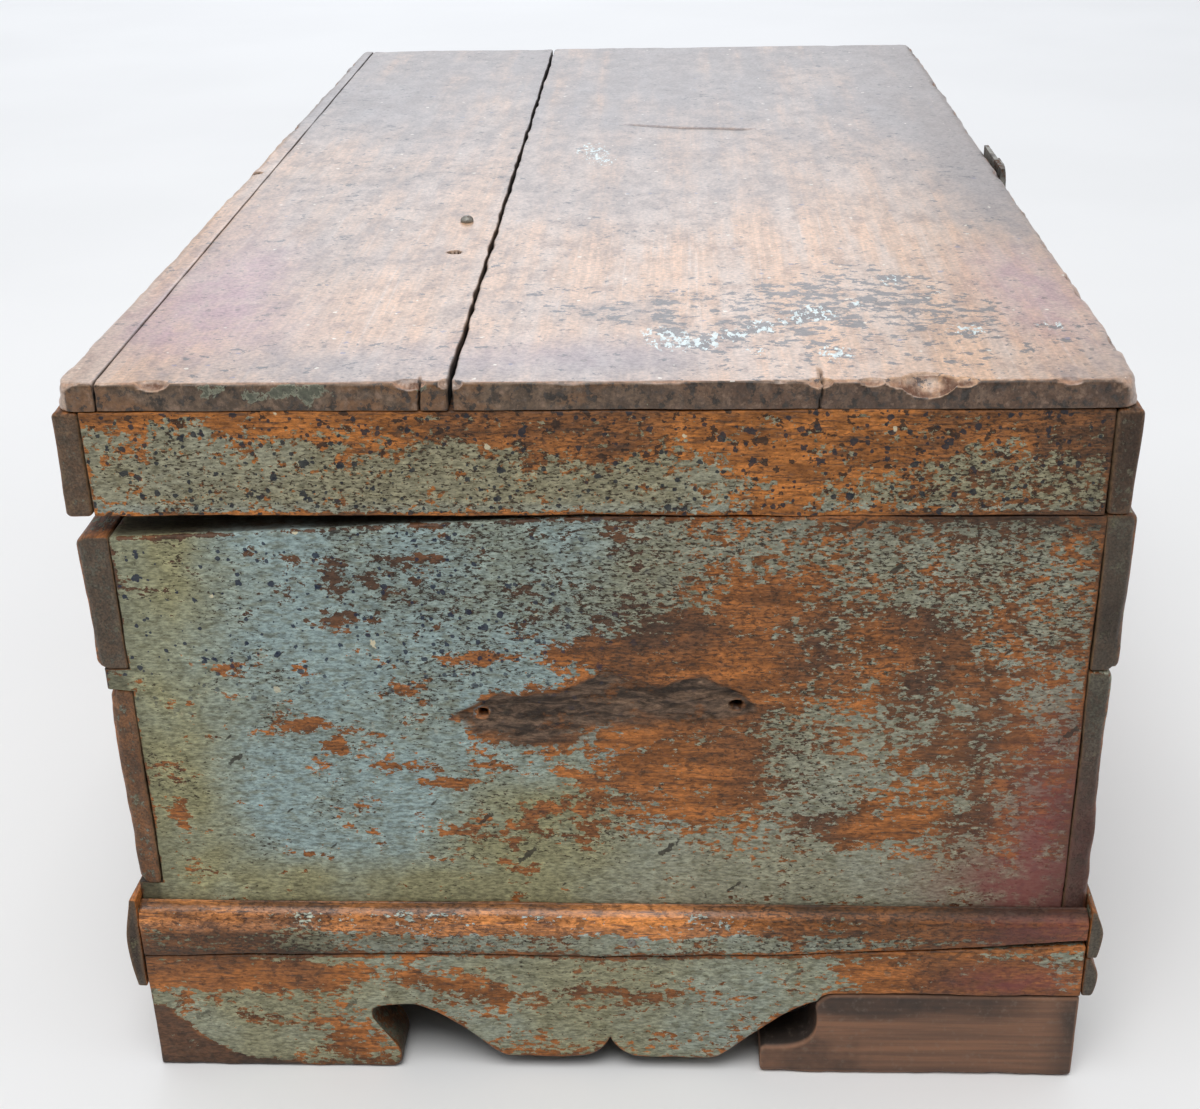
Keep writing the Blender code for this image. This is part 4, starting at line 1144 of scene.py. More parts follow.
@dataclass
class ChestBody(SubAssembly):
    """The four walls and the bottom of the chest."""

    top_level_y: float = 0.0065
    back_drop: float = 0.0092
    slope_from: float = 0.215
    panel_half: float = 0.1985
    tabs: tuple[Pair, ...] = ((0.0663, 0.0963), (0.1961, 0.2053))
    rebate_gap: float = 0.0003
    inner_half_length: float = 0.3445
    scar_top: tuple[Pair, ...] = (
        (-66, 187), (-62, 190), (-52, 197), (-42, 201), (-34, 200), (-23, 197), (-15, 200), (-1, 204), (8, 201),
        (18, 196), (33, 193), (43, 196), (52, 191), (63, 184))
    scar_bottom: tuple[Pair, ...] = (
        (-66, 187), (-55, 183), (-40, 181), (-23, 178), (-7, 175), (10, 170), (25, 166), (40, 168), (53, 174),
        (63, 184))
    holes: tuple[Pair, ...] = ((0.0508, 0.1846), (-0.0554, 0.1891))
    bare_spots: tuple[Patch, ...] = (
        (-40, 214, 34, 15, 0.62), (-66, 236, 22, 9, 0.55), (-22, 158, 36, 12, 0.75), (-52, 163, 12, 12, 0.55),
        (4, 141, 26, 7, 0.32), (-36, 140, 18, 7, 0.35), (6, 211, 34, 7, 0.42), (83, 198, 13, 6, 0.62),
        (88, 157, 14, 5, 0.7), (68, 150, 14, 3, 0.75), (126, 178, 8, 6, 0.5), (113, 168, 7, 7, 0.55),
        (120, 160, 6, 6, 0.5), (161, 207, 24, 3, 0.62), (108, 250, 6, 8, 0.4), (106, 226, 8, 5, 0.62),
        (74, 256, 11, 5, 0.6), (50, 211, 12, 6, 0.55), (54, 158, 14, 4, 0.45), (106, 138, 14, 4, 0.4),
        (-105, 226, 24, 12, 0.12), (-130, 218, 26, 16, 0.2), (-160, 205, 30, 26, 0.15), (-104, 127, 14, 7, 0.45),
        (-122, 133, 18, 9, 0.42), (-150, 160, 28, 14, 0.16), (-85, 175, 18, 14, -0.22), (-92, 150, 22, 12, -0.3),
        (-110, 196, 30, 7, 0.25), (60, 125, 8, 5, 0.3), (186, 125, 5, 30, 0.3), (40, 128, 9, 4, 0.4),
        (-70, 205, 16, 14, 0.2), (-85, 262, 60, 6, -0.15), (-72, 224, 14, 5, -0.3), (25, 134, 46, 12, 0.22),
        (95, 246, 14, 8, 0.3), (60, 238, 30, 12, 0.16), (30, 232, 40, 14, 0.14), (-140, 165, 45, 30, -0.10),
        (-120, 238, 50, 18, -0.07), (45, 120, 45, 16, 0.13), (-145, 130, 40, 40, 0.13), (-30, 212, 34, 14, 0.1),
        (120, 250, 40, 14, 0.12))
    stain_spots: tuple[Patch, ...] = ((-192, 130, 22, 50, 1.0), (-176, 99, 36, 20, 0.9))

    def panel_limits(self, low: Array, high: Array, start: Array) -> ArrayPair:
        """An end panel's box at each point: the top falls to the back, and the back edge stands out in tabs.

        Args:
            low: The board's lowest corner.
            high: Its highest corner.
            start: (N, 3) points of the plain box.

        Returns:
            Lowest and highest corner for each point.
        """
        y, z = start[:, 1], start[:, 2]
        lows, highs = same_box(start, low, high)
        fall = self.back_drop * unit((y - self.top_level_y) / (self.panel_half - self.top_level_y))
        highs[:, 2] -= fall * unit((z - self.slope_from) / (high[2] - self.slope_from))
        tab = np.any([(z > bottom - 1e-4) & (z < top + 1e-5) for bottom, top in self.tabs], axis=0)
        highs[:, 1] = np.where(tab, high[1], self.panel_half)
        return lows, highs

    def scar(self, points: Array) -> tuple[Array, Array, Array]:
        """The torn hollow that a lifting handle left, between two ragged lines.

        Args:
            points: (N, 3) points of the panel.

        Returns:
            1 inside the hollow, the height between its lower and upper line, and 1 on the rubbed wood round it.
        """
        y, z = points[:, 1] * 1e3, points[:, 2] * 1e3
        ragged = 2.4 * noise(points, (0.010, 0.014, 0.008), 71, 4)
        top = np.interp(y, *np.array(self.scar_top).T)
        bottom = np.interp(y, *np.array(self.scar_bottom).T)
        inside = np.minimum(top - z, z - bottom) + ragged
        ends = smooth(np.abs(y + 1.5), 67.0, 63.0)
        share = unit((z - bottom) / np.maximum(top - bottom, 1.0))
        rubbed = smooth(inside, -7.0, -1.0) * smooth(np.abs(y + 1.5), 72.0, 62.0)
        return smooth(inside, -0.8, 1.4) * ends, share, rubbed

    def end_panel(self, node: str, side: int) -> None:
        """One end of the chest; the end at -X carries the photographed wear.

        Args:
            node: The CAD node.
            side: -1 for the end at -X, and 1 for the other.
        """
        low, high = corners(node)
        seen = side < 0
        edges = both_sides([edge for tab in self.tabs for edge in tab])
        wear_y = around([hole[0] for hole in self.holes]) if seen else []
        wear_z = around([hole[1] for hole in self.holes]) if seen else []
        step = 0.0018 if seen else 0.003
        board = Board(low, high, (0.006, step, step), 0.0014, seed=3 + side, wander=0.0002,
                      extra=((), wear_y, [*edges, *wear_z]), limits=partial(self.panel_limits, low, high))
        skin = board.skin()
        _, y, z = skin.points.T
        face = skin.facing((side, 0, 0))
        wear = weather(skin, 20 + side, 0.42, 0.45)
        if seen:
            scar, share, rubbed = self.scar(skin.points)
            scar *= face
            broad = skin.noise((0.05, 0.05, 0.03), 8, 3)
            bare = 0.09 + 0.42 * smooth(y, 0.03, -0.07) * smooth(z, 0.098, 0.135) + 0.10 * broad
            wear.bare = unit(bare + patches(y, z, self.bare_spots) + 0.50 * rubbed)
            warm = np.maximum(1.1 * smooth(y, 0.140, 0.185), 0.9 * smooth(z, 0.155, 0.115) * smooth(y, 0.11, 0.04))
            warm = np.maximum(warm, np.maximum(0.9 * smooth(z, 0.122, 0.098), 0.72 * smooth(y, 0.03, -0.05)))
            warm = np.maximum(warm, unit(patches(y, z, ((20, 135, 55, 32, 1.0), (175, 250, 30, 20, 0.6)))))
            wear.tint = unit(warm + 0.22 * broad)
            wear.stain = unit(patches(y, z, self.stain_spots))
            # Darker in a band along the top of the front half: painted shadow under the lid's skirt. Also darker along
            # the front edge, at the foot, and on the back edge and its tabs.
            dark = 0.40 * smooth(z, 0.258, 0.274) * smooth(y, 0.0, -0.13) + 0.3 * smooth(y, -0.183, -0.197)
            dark += 0.4 * smooth(z, 0.074, 0.067) + 0.25 * smooth(y, 0.186, 0.198) + 0.5 * smooth(y, 0.1985, 0.2005)
            wear.grime = unit(dark + 0.10 * broad)
            wear.drops = 0.12 + 0.88 * smooth(y, -0.05, 0.05) * smooth(z, 0.17, 0.215)
            wear.streaky = smooth(y, 0.035, -0.045)
            pitted = 0.55 * smooth(z, 0.17, 0.235) * smooth(y, 0.15, 0.02) - 0.3 * smooth(z, 0.125, 0.10)
            wear.pitted = unit(0.45 + pitted)
            char = patches(y, z, ((-36, 226, 36, 13, 0.35), (-110, 235, 60, 18, 0.25), (-150, 190, 40, 30, 0.25)))
            char *= smooth(skin.noise(0.016, 18, 3), -0.7, 0.2)
            char += 0.9 * smooth(z, 0.208, 0.232) * smooth(y, -0.045, 0.0)
            char += 0.55 * smooth(y, -0.050, -0.085) * smooth(skin.noise(0.022, 24, 4), -0.7, 0.5)
            wear.char = unit(char + 0.3 * skin.noise(0.03, 15, 4))
            wear.blots = 0.45
            wear.nicked = 1.0
            frayed = share + 0.35 * skin.noise((0.02, 0.02, 0.007), 17, 4)
            # The torn colour fades out towards the lower line, so the hollow is darker towards its upper edge: the
            # torn wood's own colour plus painted shadow under that edge.
            wear.scar = scar * (0.25 + 0.75 * smooth(frayed, -0.10, 0.30))
            depth = scar * (0.0003 + 0.0017 * share + 0.0005 * skin.noise((0.01, 0.02, 0.004), 5, 3))
            skin.points = skin.points - np.array((side, 0, 0)) * depth[:, None]
            hole, ring = np.zeros(len(y)), np.zeros(len(y))
            for hole_y, hole_z in self.holes:
                reach = np.hypot(y - hole_y, (z - hole_z) * 1.15) + 0.0004 * skin.noise(0.003, 9, 2)
                hole = np.maximum(hole, smooth(reach, 0.0027, 0.0019))
                ring = np.maximum(ring, smooth(reach + 0.0008 * skin.noise(0.004, 19, 2), 0.0040, 0.0030))
            wear.scar = wear.scar * (1.0 - 0.8 * ring)
            # The ring round each hole is made glossier and lightened by the painted highlight colour.
            wear.polish = 0.45 * ring * face
            wear.bare = np.maximum(wear.bare, ring)
            skin.points = skin.points - np.array((side, 0, 0)) * (0.007 * hole * face)[:, None]
            # The nail holes are painted near-black: painted shade in the holes.
            wear.crack = hole * face
        wear.end = skin.either_way(1)
        # Painted shade on each end panel's top face, which lies under the lid.
        top_face_shade = 0.75 * skin.facing((0, 0, 1)) * smooth(skin.rim, 0.0012, 0.003)
        wear.grime = np.maximum(wear.grime, top_face_shade)
        wear.inside = skin.facing((-side, 0, 0))
        self.dress(node, skin, self.finishes.paint_across, wear)

    def plank(self, node: str, back: bool, notched: bool, bare: float, seed: int) -> None:
        """One long wall plank, rounded and rubbed outside.

        Args:
            node: The CAD node.
            back: Whether it is in the back wall.
            notched: Whether its ends sit between tabs.
            bare: Mean share of lost paint.
            seed: Which noise to use.
        """
        low, high = corners(node)
        out = 1 if back else -1
        lap_at = self.inner_half_length - self.rebate_gap
        (_, bottom_tab), (mid_tab, _) = self.tabs
        notch = (bottom_tab + self.rebate_gap, mid_tab - self.rebate_gap) if notched else None
        limits = partial(lapped, low, high, lap_at, out * (self.panel_half + self.rebate_gap), out, notch)

        def radii(start: Array) -> Array:
            """A larger radius on the outer side."""
            outer = high[1] - start[:, 1] if back else start[:, 1] - low[1]
            return 0.0010 + 0.0030 * smooth(outer, 0.010, 0.004)

        board = Board(low, high, (0.0045, 0.004, 0.003), seed=seed, edge=0.006, wander=0.0006, swell=0.0004,
                      extra=(both_sides((-lap_at, lap_at)), (), ()), limits=limits, radii=radii)
        skin = board.skin()
        balls = [nicks(low, high, (0, 0.7 * out, 0.7 * up), 16, (0.002, 0.006), seed + up) for up in (-1, 1)]
        balls += [nicks(low, high, (0.7 * way, 0.7 * out, 0), 7, (0.002, 0.005), seed + 9) for way in (-1, 1)]
        skin.points = bite_groups(skin.points, balls)
        wear = weather(skin, seed, bare, 0.55)
        wear.end = skin.either_way(0) * (0.55 if notched else 0.9)
        wear.inside = skin.facing((0, -out, 0))
        x, _, z = skin.points.T
        wear.stain = 0.5 * smooth(z, 0.19, 0.12) * smooth(-x, 0.25, 0.36) * (not back)
        wear.grime = np.maximum(wear.grime, smooth(skin.rim, 0.0030, 0.0002) * 0.25)
        wear.grime = np.maximum(wear.grime, (0.12 if back else 0.38) * wear.end)
        self.dress(node, skin, self.finishes.paint_along, wear)

    def build(self) -> None:
        """Builds the walls and the bottom."""
        self.end_panel("left_end_panel", -1)
        self.end_panel("right_end_panel", 1)
        self.plank("front_lower_plank", False, False, 0.50, 31)
        self.plank("front_upper_plank", False, False, 0.45, 32)
        self.plank("back_lower_plank", True, True, 0.55, 33)
        self.plank("back_upper_plank", True, False, 0.55, 34)
        boards = ("bottom_front_board", "bottom_middle_board", "bottom_back_board")
        self.plain(boards, (0.008, 0.006, 0.005), 0.0012, 80, self.finishes.bare_along, 0.7)
        bearers = ("left_bearer", "middle_bearer", "right_bearer")
        self.plain(bearers, (0.006, 0.008, 0.006), 0.0012, 90, self.finishes.bare_across)


def bezier(first: Vec, handle: Vec, other: Vec, last: Vec, count: int = 25) -> Array:
    """Points of (1-t)^3 a + 3t(1-t)^2 b + 3t^2(1-t) c + t^3 d for t from 0 to 1.

    Args:
        first: Start a.
        handle: Its handle b.
        other: The end's handle c.
        last: End d.
        count: How many points.

    Returns:
        (count, 2) points.
    """
    t = np.linspace(0.0, 1.0, count)[:, None]
    a, b, c, d = (np.asarray(p, float) for p in (first, handle, other, last))
    return (1 - t) ** 3 * a + 3 * t * (1 - t) ** 2 * b + 3 * t**2 * (1 - t) * c + t**3 * d


def arc(centre: Vec, radius: float, start: float, end: float, count: int = 13) -> Array:
    """Points of a circle between two angles in degrees."""
    angle = np.radians(np.linspace(start, end, count))
    return np.asarray(centre) + radius * np.stack((np.cos(angle), np.sin(angle)), axis=1)


def mirrored(edge: Array) -> Array:
    """An edge line of (along, up) points with its mirror image before it."""
    return np.concatenate((edge[:0:-1] * np.array((-1.0, 1.0)), edge))


@dataclass
class Ruled:
    """A flat board between two edge lines, ruled with straight lines from one to the other.

    Its place is ruled[0](s) + t (ruled[1](s) - ruled[0](s)) for s along both lines and t from 0 to 1, times a
    thickness. The lines hold (along, up) points that belong to each other.
    """

    first: Array
    second: Array
    thickness: float
    step: float = 0.0022
    radius: float = 0.0016
    seed: int = 1
    layers: tuple[float, ...] = ()

    def skin(self, place: Place) -> WornSkin:
        """Makes the worn surface.

        Args:
            place: Turns (along, up, depth) arrays into (N, 3) points.

        Returns:
            The worn skin, whose outward directions are in (along the line, along the rule, depth).
        """
        middle = (self.first + self.second) / 2.0
        run = np.concatenate(([0.0], np.cumsum(np.linalg.norm(np.diff(self.first, axis=0), axis=1)
                                                + 0.5 * np.linalg.norm(np.diff(middle, axis=0), axis=1))))
        rule = np.linalg.norm(self.second - self.first, axis=1)
        tall = float(rule.max())
        grid = BoxGrid(knots(float(run[-1]), self.step * 0.8, 0.004, run), knots(tall, self.step, 0.005),
                       knots(self.thickness, 0.004, 0.004, self.layers))
        a, b, c = grid.points.T
        height = np.interp(a, run, rule)
        b = b / tall * height
        start = np.stack((a, b, c), axis=1)
        lows = np.zeros_like(start)
        highs = np.stack((np.full_like(a, run[-1]), height, np.full_like(a, self.thickness)), axis=1)
        radius = self.radius * (1.0 + 0.5 * noise(start, 0.018, self.seed))
        rounded, outward, rim = round_edges(start, lows, highs, np.maximum(radius, 0.0004))
        rounded = rounded + outward * (0.0002 * noise(start, 0.03, self.seed + 5, 4))[:, None]
        line = [np.stack([np.interp(rounded[:, 0], run, side[:, i]) for i in (0, 1)], axis=1)
                for side in (self.first, self.second)]
        share = (rounded[:, 1] / np.maximum(height, 1e-9))[:, None]
        spot = line[0] + share * (line[1] - line[0])
        return WornSkin(place(spot[:, 0], spot[:, 1], rounded[:, 2]), outward, rim, grid.quads)


def standing(axis: int, start: float, way: int, lift: Place | None = None) -> Place:
    """How a ruled board stands: its thickness runs along one level axis and its length along the other.

    Args:
        axis: 0 where the thickness runs along X, and 1 where it runs along Y.
        start: Where the thickness starts.
        way: 1 or -1, the way it runs.
        lift: Turns (along, up, depth) into new heights.

    Returns:
        A function of (along, up, depth) arrays that gives points.
    """
    def place(along: Array, up: Array, depth: Array) -> Array:
        """The points, as (N, 3)."""
        level = (along, start + way * depth) if axis else (start + way * depth, along)
        return np.stack((*level, lift(along, up, depth) if lift else up), axis=1)

    return place


@dataclass
class Plinth(SubAssembly):
    """The scrolled base: aprons, the replaced foot, mouldings and bands."""

    top: float = 0.066
    half_width: float = 0.2090
    end_half: float = 0.3755
    thickness: float = 0.024
    drop: float = 0.007
    cusp_height: float = 0.0115
    cusp_half: float = 0.015
    ogee: float = 0.046
    eye_top: float = 0.036
    eye_depth: float = 0.016
    toe_reach: float = 0.012
    toe_round: float = 0.005
    cut: float = 0.0453
    lip_from: float = 0.0156
    lip_step: float = 0.0004
    end_drop_half: float = 0.046
    front_drop_half: float = 0.190
    arch: float = 0.2412
    arch_round: float = 0.012
    arch_top: float = 0.030
    joint: float = 0.0003
    block_neck: float = -0.0925
    block_toe: float = -0.068
    block_top: float = 0.045
    block_round: float = 0.008
    bright_line: Pair = (0.0755, 0.0785)
    split_y: tuple[float, ...] = (-0.209, -0.171, -0.136, -0.084, 0.003, 0.070, 0.183, 0.209)
    split_z: tuple[float, ...] = (0.0738, 0.0708, 0.0698, 0.0672, 0.0645, 0.0652, 0.0634, 0.0630)
    bare_spots: tuple[Patch, ...] = (
        (188, 53, 40, 9, 1.0), (150, 52, 28, 8, 0.8), (125, 55, 22, 6, 0.45), (76, 48, 20, 7, 0.45),
        (52, 45, 10, 7, 0.45), (148, 26, 20, 7, 0.45), (120, 30, 10, 14, 0.4), (4, 46, 24, 6, 0.4),
        (-31, 43, 16, 5, 0.4), (-128, 56, 34, 12, 0.75), (-178, 54, 40, 14, 0.9), (110, 12, 14, 12, 0.5),
        (-60, 30, 8, 12, 0.3), (30, 10, 30, 5, 0.35))
    apron_stain: tuple[Patch, ...] = ((-178, 53, 26, 9, 0.85),)
    moulding_spots: tuple[Patch, ...] = ((150, 84, 34, 3, 0.28), (100, 86, 24, 3, 0.24), (60, 85, 30, 3, 0.12))
    moulding_stain: tuple[Patch, ...] = ((-192, 82, 30, 14, 0.9),)
    paint_spots: tuple[Patch, ...] = ((102, 40, 16, 12, 0.3), (172, 20, 30, 12, 0.3), (-20, 52, 60, 6, 0.25))

    def scroll(self, drop_half: float, foot_end: float) -> ArrayPair:
        """Half of a scrolled apron: its lower edge from the middle out, and the top point of each rule.

        Args:
            drop_half: Half the flat hanging part.
            foot_end: Where the foot ends.

        Returns:
            Lower edge and top edge, as (along, up) points that belong to each other.
        """
        ogee_end = drop_half + self.ogee
        eye_back = ogee_end + self.eye_depth
        toe = eye_back - self.toe_reach
        eye_low = self.eye_top - self.toe_round
        neck_z = (eye_low + self.toe_round) / 2.0
        cusp = bezier((0, self.drop + self.cusp_height), (0.003, self.drop + 0.004), (0.008, self.drop),
                      (self.cusp_half, self.drop))
        rise = bezier((drop_half, self.drop), (drop_half + 0.17 * self.ogee, self.drop),
                      (ogee_end - 0.4 * self.ogee, self.eye_top), (ogee_end, self.eye_top))
        nose = bezier((ogee_end, self.eye_top), (ogee_end + self.eye_depth / 2, self.eye_top),
                      (eye_back, self.eye_top), (eye_back, eye_low), 13)
        neck = bezier((eye_back, eye_low), (eye_back, neck_z), (toe, neck_z), (toe, self.toe_round))
        tip = arc((toe + self.toe_round, self.toe_round), self.toe_round, 180, 270, 9)
        lower = np.concatenate((cusp, rise, nose[1:], neck[1:], tip[1:], [(foot_end, 0.0)]))
        tops = (cusp[:, 0], rise[:, 0], np.linspace(ogee_end, eye_back + 0.010, 13)[1:],
                np.linspace(eye_back + 0.010, eye_back + 0.032, 25)[1:],
                np.linspace(eye_back + 0.032, eye_back + 0.042, 9)[1:], [foot_end])
        upper = np.concatenate(tops)
        return lower, np.stack((upper, np.full_like(upper, self.top)), axis=1)

    def whole(self, drop_half: float, foot_end: float) -> ArrayPair:
        """Both halves of a scrolled apron, from one foot to the other."""
        lower, upper = self.scroll(drop_half, foot_end)
        return mirrored(lower), mirrored(upper)

    def mended(self) -> ArrayPair:
        """The left apron: the back half whole, the front half cut off level above the replaced foot.

        Returns:
            Lower edge and top edge, as in scroll().
        """
        lower, upper = self.scroll(self.end_drop_half, self.half_width)
        cusp = lower[24:0:-1] * np.array((-1.0, 1.0))
        rise = bezier((-0.0931, 0.0403), (-0.0736, self.eye_top), (-0.0538, self.drop),
                      (-self.end_drop_half, self.drop))
        shoulder = arc((-0.1005, 0.037), 0.0083, 90, 25, 9)
        front = np.concatenate(([(-self.half_width, self.cut)], shoulder, rise[1:], cusp))
        front_top = np.stack((front[:, 0], np.full(len(front), self.top)), axis=1)
        return np.concatenate((front, lower)), np.concatenate((front_top, upper))

    def split_line(self, y: Array) -> Array:
        """Height of the line along which the left apron has parted from its moulding, slightly ragged."""
        flat = np.stack((np.zeros_like(y), y, np.zeros_like(y)), axis=1)
        return np.interp(y, self.split_y, self.split_z) + 0.00035 * noise(flat, 0.014, 64, 4)

    def part_top(self, along: Array, up: Array, depth: Array) -> Array:
        """Lifts or lowers the seen face of the left apron's top to the split line.

        Args:
            along: (N,) place along the apron.
            up: (N,) height.
            depth: (N,) place through the thickness, from the back.

        Returns:
            The new heights.
        """
        outer = smooth(depth, self.lip_from, self.lip_from + self.lip_step)
        rise = unit((up - 0.048) / (self.top - 0.048))
        return up + rise * outer * (self.split_line(along) - 0.0002 - self.top)

    def apron_wear(self, skin: WornSkin, seen: bool, seed: int) -> Wear:
        """Wear of an apron, with listed spots on the end that is seen.

        Args:
            skin: The board.
            seen: Whether it is that end's.
            seed: Which noise to use.

        Returns:
            Its wear.
        """
        wear = weather(skin, seed, 0.5, 0.45, 0.1)
        if seen:
            _, y, z = skin.points.T
            bare = 0.24 + 0.12 * skin.noise(0.04, seed, 3) + patches(y, z, self.bare_spots)
            wear.bare = unit(bare - patches(y, z, self.paint_spots))
            warm = 0.66 + 0.25 * smooth(y, 0.08, 0.16) + 0.4 * smooth(z, 0.02, 0.004)
            wear.tint = unit(warm + 0.3 * skin.noise(0.05, 4, 3))
            wear.stain = unit(patches(y, z, self.apron_stain))
            oval = np.hypot((y - 0.143) / 0.066, (z - 0.066) / 0.064) + 0.04 * skin.noise(0.01, 6, 3)
            corner = smooth(oval, 0.97, 1.03) * (z < 0.034) * (y > 0.143)
            wear.bare = np.maximum(wear.bare, corner)
            wear.char = np.maximum(0.25 * wear.char, corner)
            wear.pitted = 0.15
            wear.streaky = 0.5
            # Darker along the bottom 8 mm and along the edges.
            wear.grime = unit(0.5 * smooth(z, 0.008, 0.0) + 0.25 * smooth(skin.rim, 0.003, 0.0))
        return wear

    def aprons(self) -> None:
        """The four aprons."""
        inner = self.end_half - self.thickness
        jobs = (("left_end_apron", -1, *self.mended()),
                ("right_end_apron", 1, *self.whole(self.end_drop_half, self.half_width)))
        for node, side, lower, upper in jobs:
            layers = (self.lip_from, self.lip_from + self.lip_step)
            ruled = Ruled(lower, upper, self.thickness, seed=50 + side, layers=layers)
            skin = ruled.skin(standing(0, side * inner, side, self.part_top if side < 0 else None))
            if side < 0:
                skin.quads = skin.quads[:, ::-1]
            wear = self.apron_wear(skin, side < 0, 52 + side)
            wear.inside = smooth(-skin.outward[:, 2], 0.5, 0.8)
            # Painted shade on the faces of the scrolled lower edge, under the apron.
            wear.grime = np.maximum(wear.grime, 0.8 * smooth(-skin.outward[:, 1], 0.5, 0.85))
            self.dress(node, skin, self.finishes.paint_across, wear)

        lower, upper = self.whole(self.front_drop_half, inner - self.joint)
        skin = Ruled(lower, upper, self.thickness, 0.0035, seed=55).skin(
            standing(1, -self.half_width + self.thickness, -1))
        wear = self.apron_wear(skin, False, 57)
        wear.inside = smooth(-skin.outward[:, 2], 0.5, 0.8)
        self.dress("front_apron", skin, self.finishes.paint_along, wear)

        low, high = corners("back_apron")
        arch, turn = self.arch, self.arch_round
        bend = arc((arch - turn, self.arch_top - turn), turn, 90, 0, 9)
        half = np.concatenate(([(0.0, self.arch_top)], bend, [(arch, 0.0), (high[0], 0.0)]))
        tops = np.concatenate(([0.0], np.linspace(arch - turn, arch + 0.004, 9), [arch + 0.008, high[0]]))
        tops = np.stack((tops, np.full_like(tops, self.top)), axis=1)
        skin = Ruled(mirrored(half), mirrored(tops), self.thickness, 0.004, seed=58).skin(standing(1, low[1], 1))
        skin.quads = skin.quads[:, ::-1]
        self.dress("back_apron", skin, self.finishes.bare_along, Wear())

    def foot_block(self) -> None:
        """The plain block under the cut end of the left apron, with its scooped toe."""
        neck, toe, top, turn = self.block_neck, self.block_toe, self.block_top, self.block_round
        shoulder = arc((neck - turn, top - turn), turn, 90, 0, 11)
        scoop = bezier((neck, top - turn), (neck - 0.0025, 0.021), (toe - 0.0221, 0.014), (toe - 0.0025, 0.015))
        tip = np.array(((toe - 0.0006, 0.0140), (toe, 0.0125)))
        upper = np.concatenate(([(-self.half_width, top)], shoulder, scoop[1:], tip))
        base = np.concatenate(([-self.half_width], np.linspace(-0.124, -0.110, 11),
                               np.linspace(-0.110, -0.073, 25)[1:], (-0.0695, toe)))
        lower = np.stack((base, np.zeros_like(base)), axis=1)
        inner = self.end_half - self.thickness
        skin = Ruled(lower, upper, self.thickness, radius=0.0022, seed=66).skin(standing(0, -inner, -1))
        skin.quads = skin.quads[:, ::-1]
        _, y, z = skin.points.T
        # Darker near the top towards the front end, at the front end and along the foot.
        grime = 0.85 * smooth(z + 0.003 * skin.noise(0.03, 3, 3), 0.030, 0.036) * smooth(y, -0.20, -0.17)
        grime += 0.6 * smooth(y, -0.19, -0.208) + 0.4 * smooth(z, 0.006, 0.0)
        # Painted shade on the top faces and in the scoop.
        grime += 0.85 * smooth(skin.outward[:, 1], 0.5, 0.85)
        self.dress("repair_foot_block", skin, self.finishes.block, Wear(grime=unit(grime)))

    def moulding_limits(self, low: Array, high: Array, side: int, start: Array) -> ArrayPair:
        """A moulding's box at each point: it reaches depth * sqrt(1 - t^2) out, for t from 0 to 1 up the round.

        Args:
            low: The board's lowest corner.
            high: Its highest corner.
            side: -1 for the left end, whose moulding starts at the split, and 1 for the right.
            start: (N, 3) points of the plain box.

        Returns:
            Lowest and highest corner for each point.
        """
        depth = high[0] - low[0]
        rise = unit((start[:, 2] - (high[2] - depth)) / depth)
        reach = np.maximum(depth * np.sqrt(np.maximum(1.0 - rise**2, 0.0)), 0.0011)
        lows, highs = same_box(start, low, high)
        if side > 0:
            highs[:, 0] = low[0] + reach
        else:
            lows[:, 0] = high[0] - reach
            gap = 0.0004 + 0.0022 * smooth(start[:, 1], -0.140, -0.200)
            lows[:, 2] = self.split_line(start[:, 1]) + gap
        return lows, highs

    def mouldings(self) -> None:
        """The quarter-round mouldings at both ends: a box grid whose depth follows the round nose."""
        for node, side in (("left_end_moulding", -1), ("right_end_moulding", 1)):
            low, high = corners(node)
            depth = high[0] - low[0]
            nose = high[2] - depth + depth * np.sin(np.radians(np.linspace(0, 90, 16)))
            board = Board(low, high, (0.003, 0.0022, 0.0018), 0.0007, 0.003, 70 + side, 0.0003, 0.0002,
                          ((), (), nose), partial(self.moulding_limits, low, high, side))
            skin = board.skin()
            _, y, z = skin.points.T
            wear = weather(skin, 72 + side, 0.6, 0.65, 0.1)
            ragged = 0.0025 * skin.noise(0.02, 73, 3)
            bright = smooth(z + ragged, *self.bright_line)
            bare = 0.30 + 0.58 * bright + 0.15 * skin.noise(0.05, 74, 3) - patches(y, z, self.moulding_spots)
            bare += 0.45 * smooth(y, 0.12, 0.17)
            bare += 0.5 * smooth(y, -0.10, -0.15)
            wear.bare = unit(bare)
            wear.char *= 0.2
            # The nose's top band is left bare and, through the field polish, given a painted highlight and a lower
            # roughness.
            wear.polish = bright * smooth(y, -0.09, -0.03)
            wear.stain = unit(patches(y, z, self.moulding_stain)) * (side < 0)
            grime = 0.45 * smooth(z, 0.0855, 0.0878) + 0.2 * smooth(z, 0.0685, 0.0665)
            grime += 0.35 * smooth(z, 0.0770, 0.0750) * smooth(y, 0.0, 0.12) + 0.25 * smooth(y, -0.05, -0.10)
            wear.grime = unit(grime)
            self.dress(node, skin, self.finishes.paint_across, wear)

    @staticmethod
    def band_limits(low: Array, high: Array, back: bool, start: Array) -> ArrayPair:
        """A band's box at each point: 0.72 + 1.12 t (1 - t) thick, less a soft step above, for t from foot to top.

        Args:
            low: The board's lowest corner.
            high: Its highest corner.
            back: Whether it runs along the back.
            start: (N, 3) points of the plain box.

        Returns:
            Lowest and highest corner for each point.
        """
        share = (start[:, 2] - low[2]) / (high[2] - low[2])
        full = high[1] - low[1]
        thick = full * np.clip(0.72 + 1.12 * share * (1.0 - share) - 0.34 * smooth(share, 0.5, 1.0), 0.3, 1.0)
        lows, highs = same_box(start, low, high)
        if back:
            highs[:, 1] = low[1] + thick
        else:
            lows[:, 1] = high[1] - thick
        return lows, highs

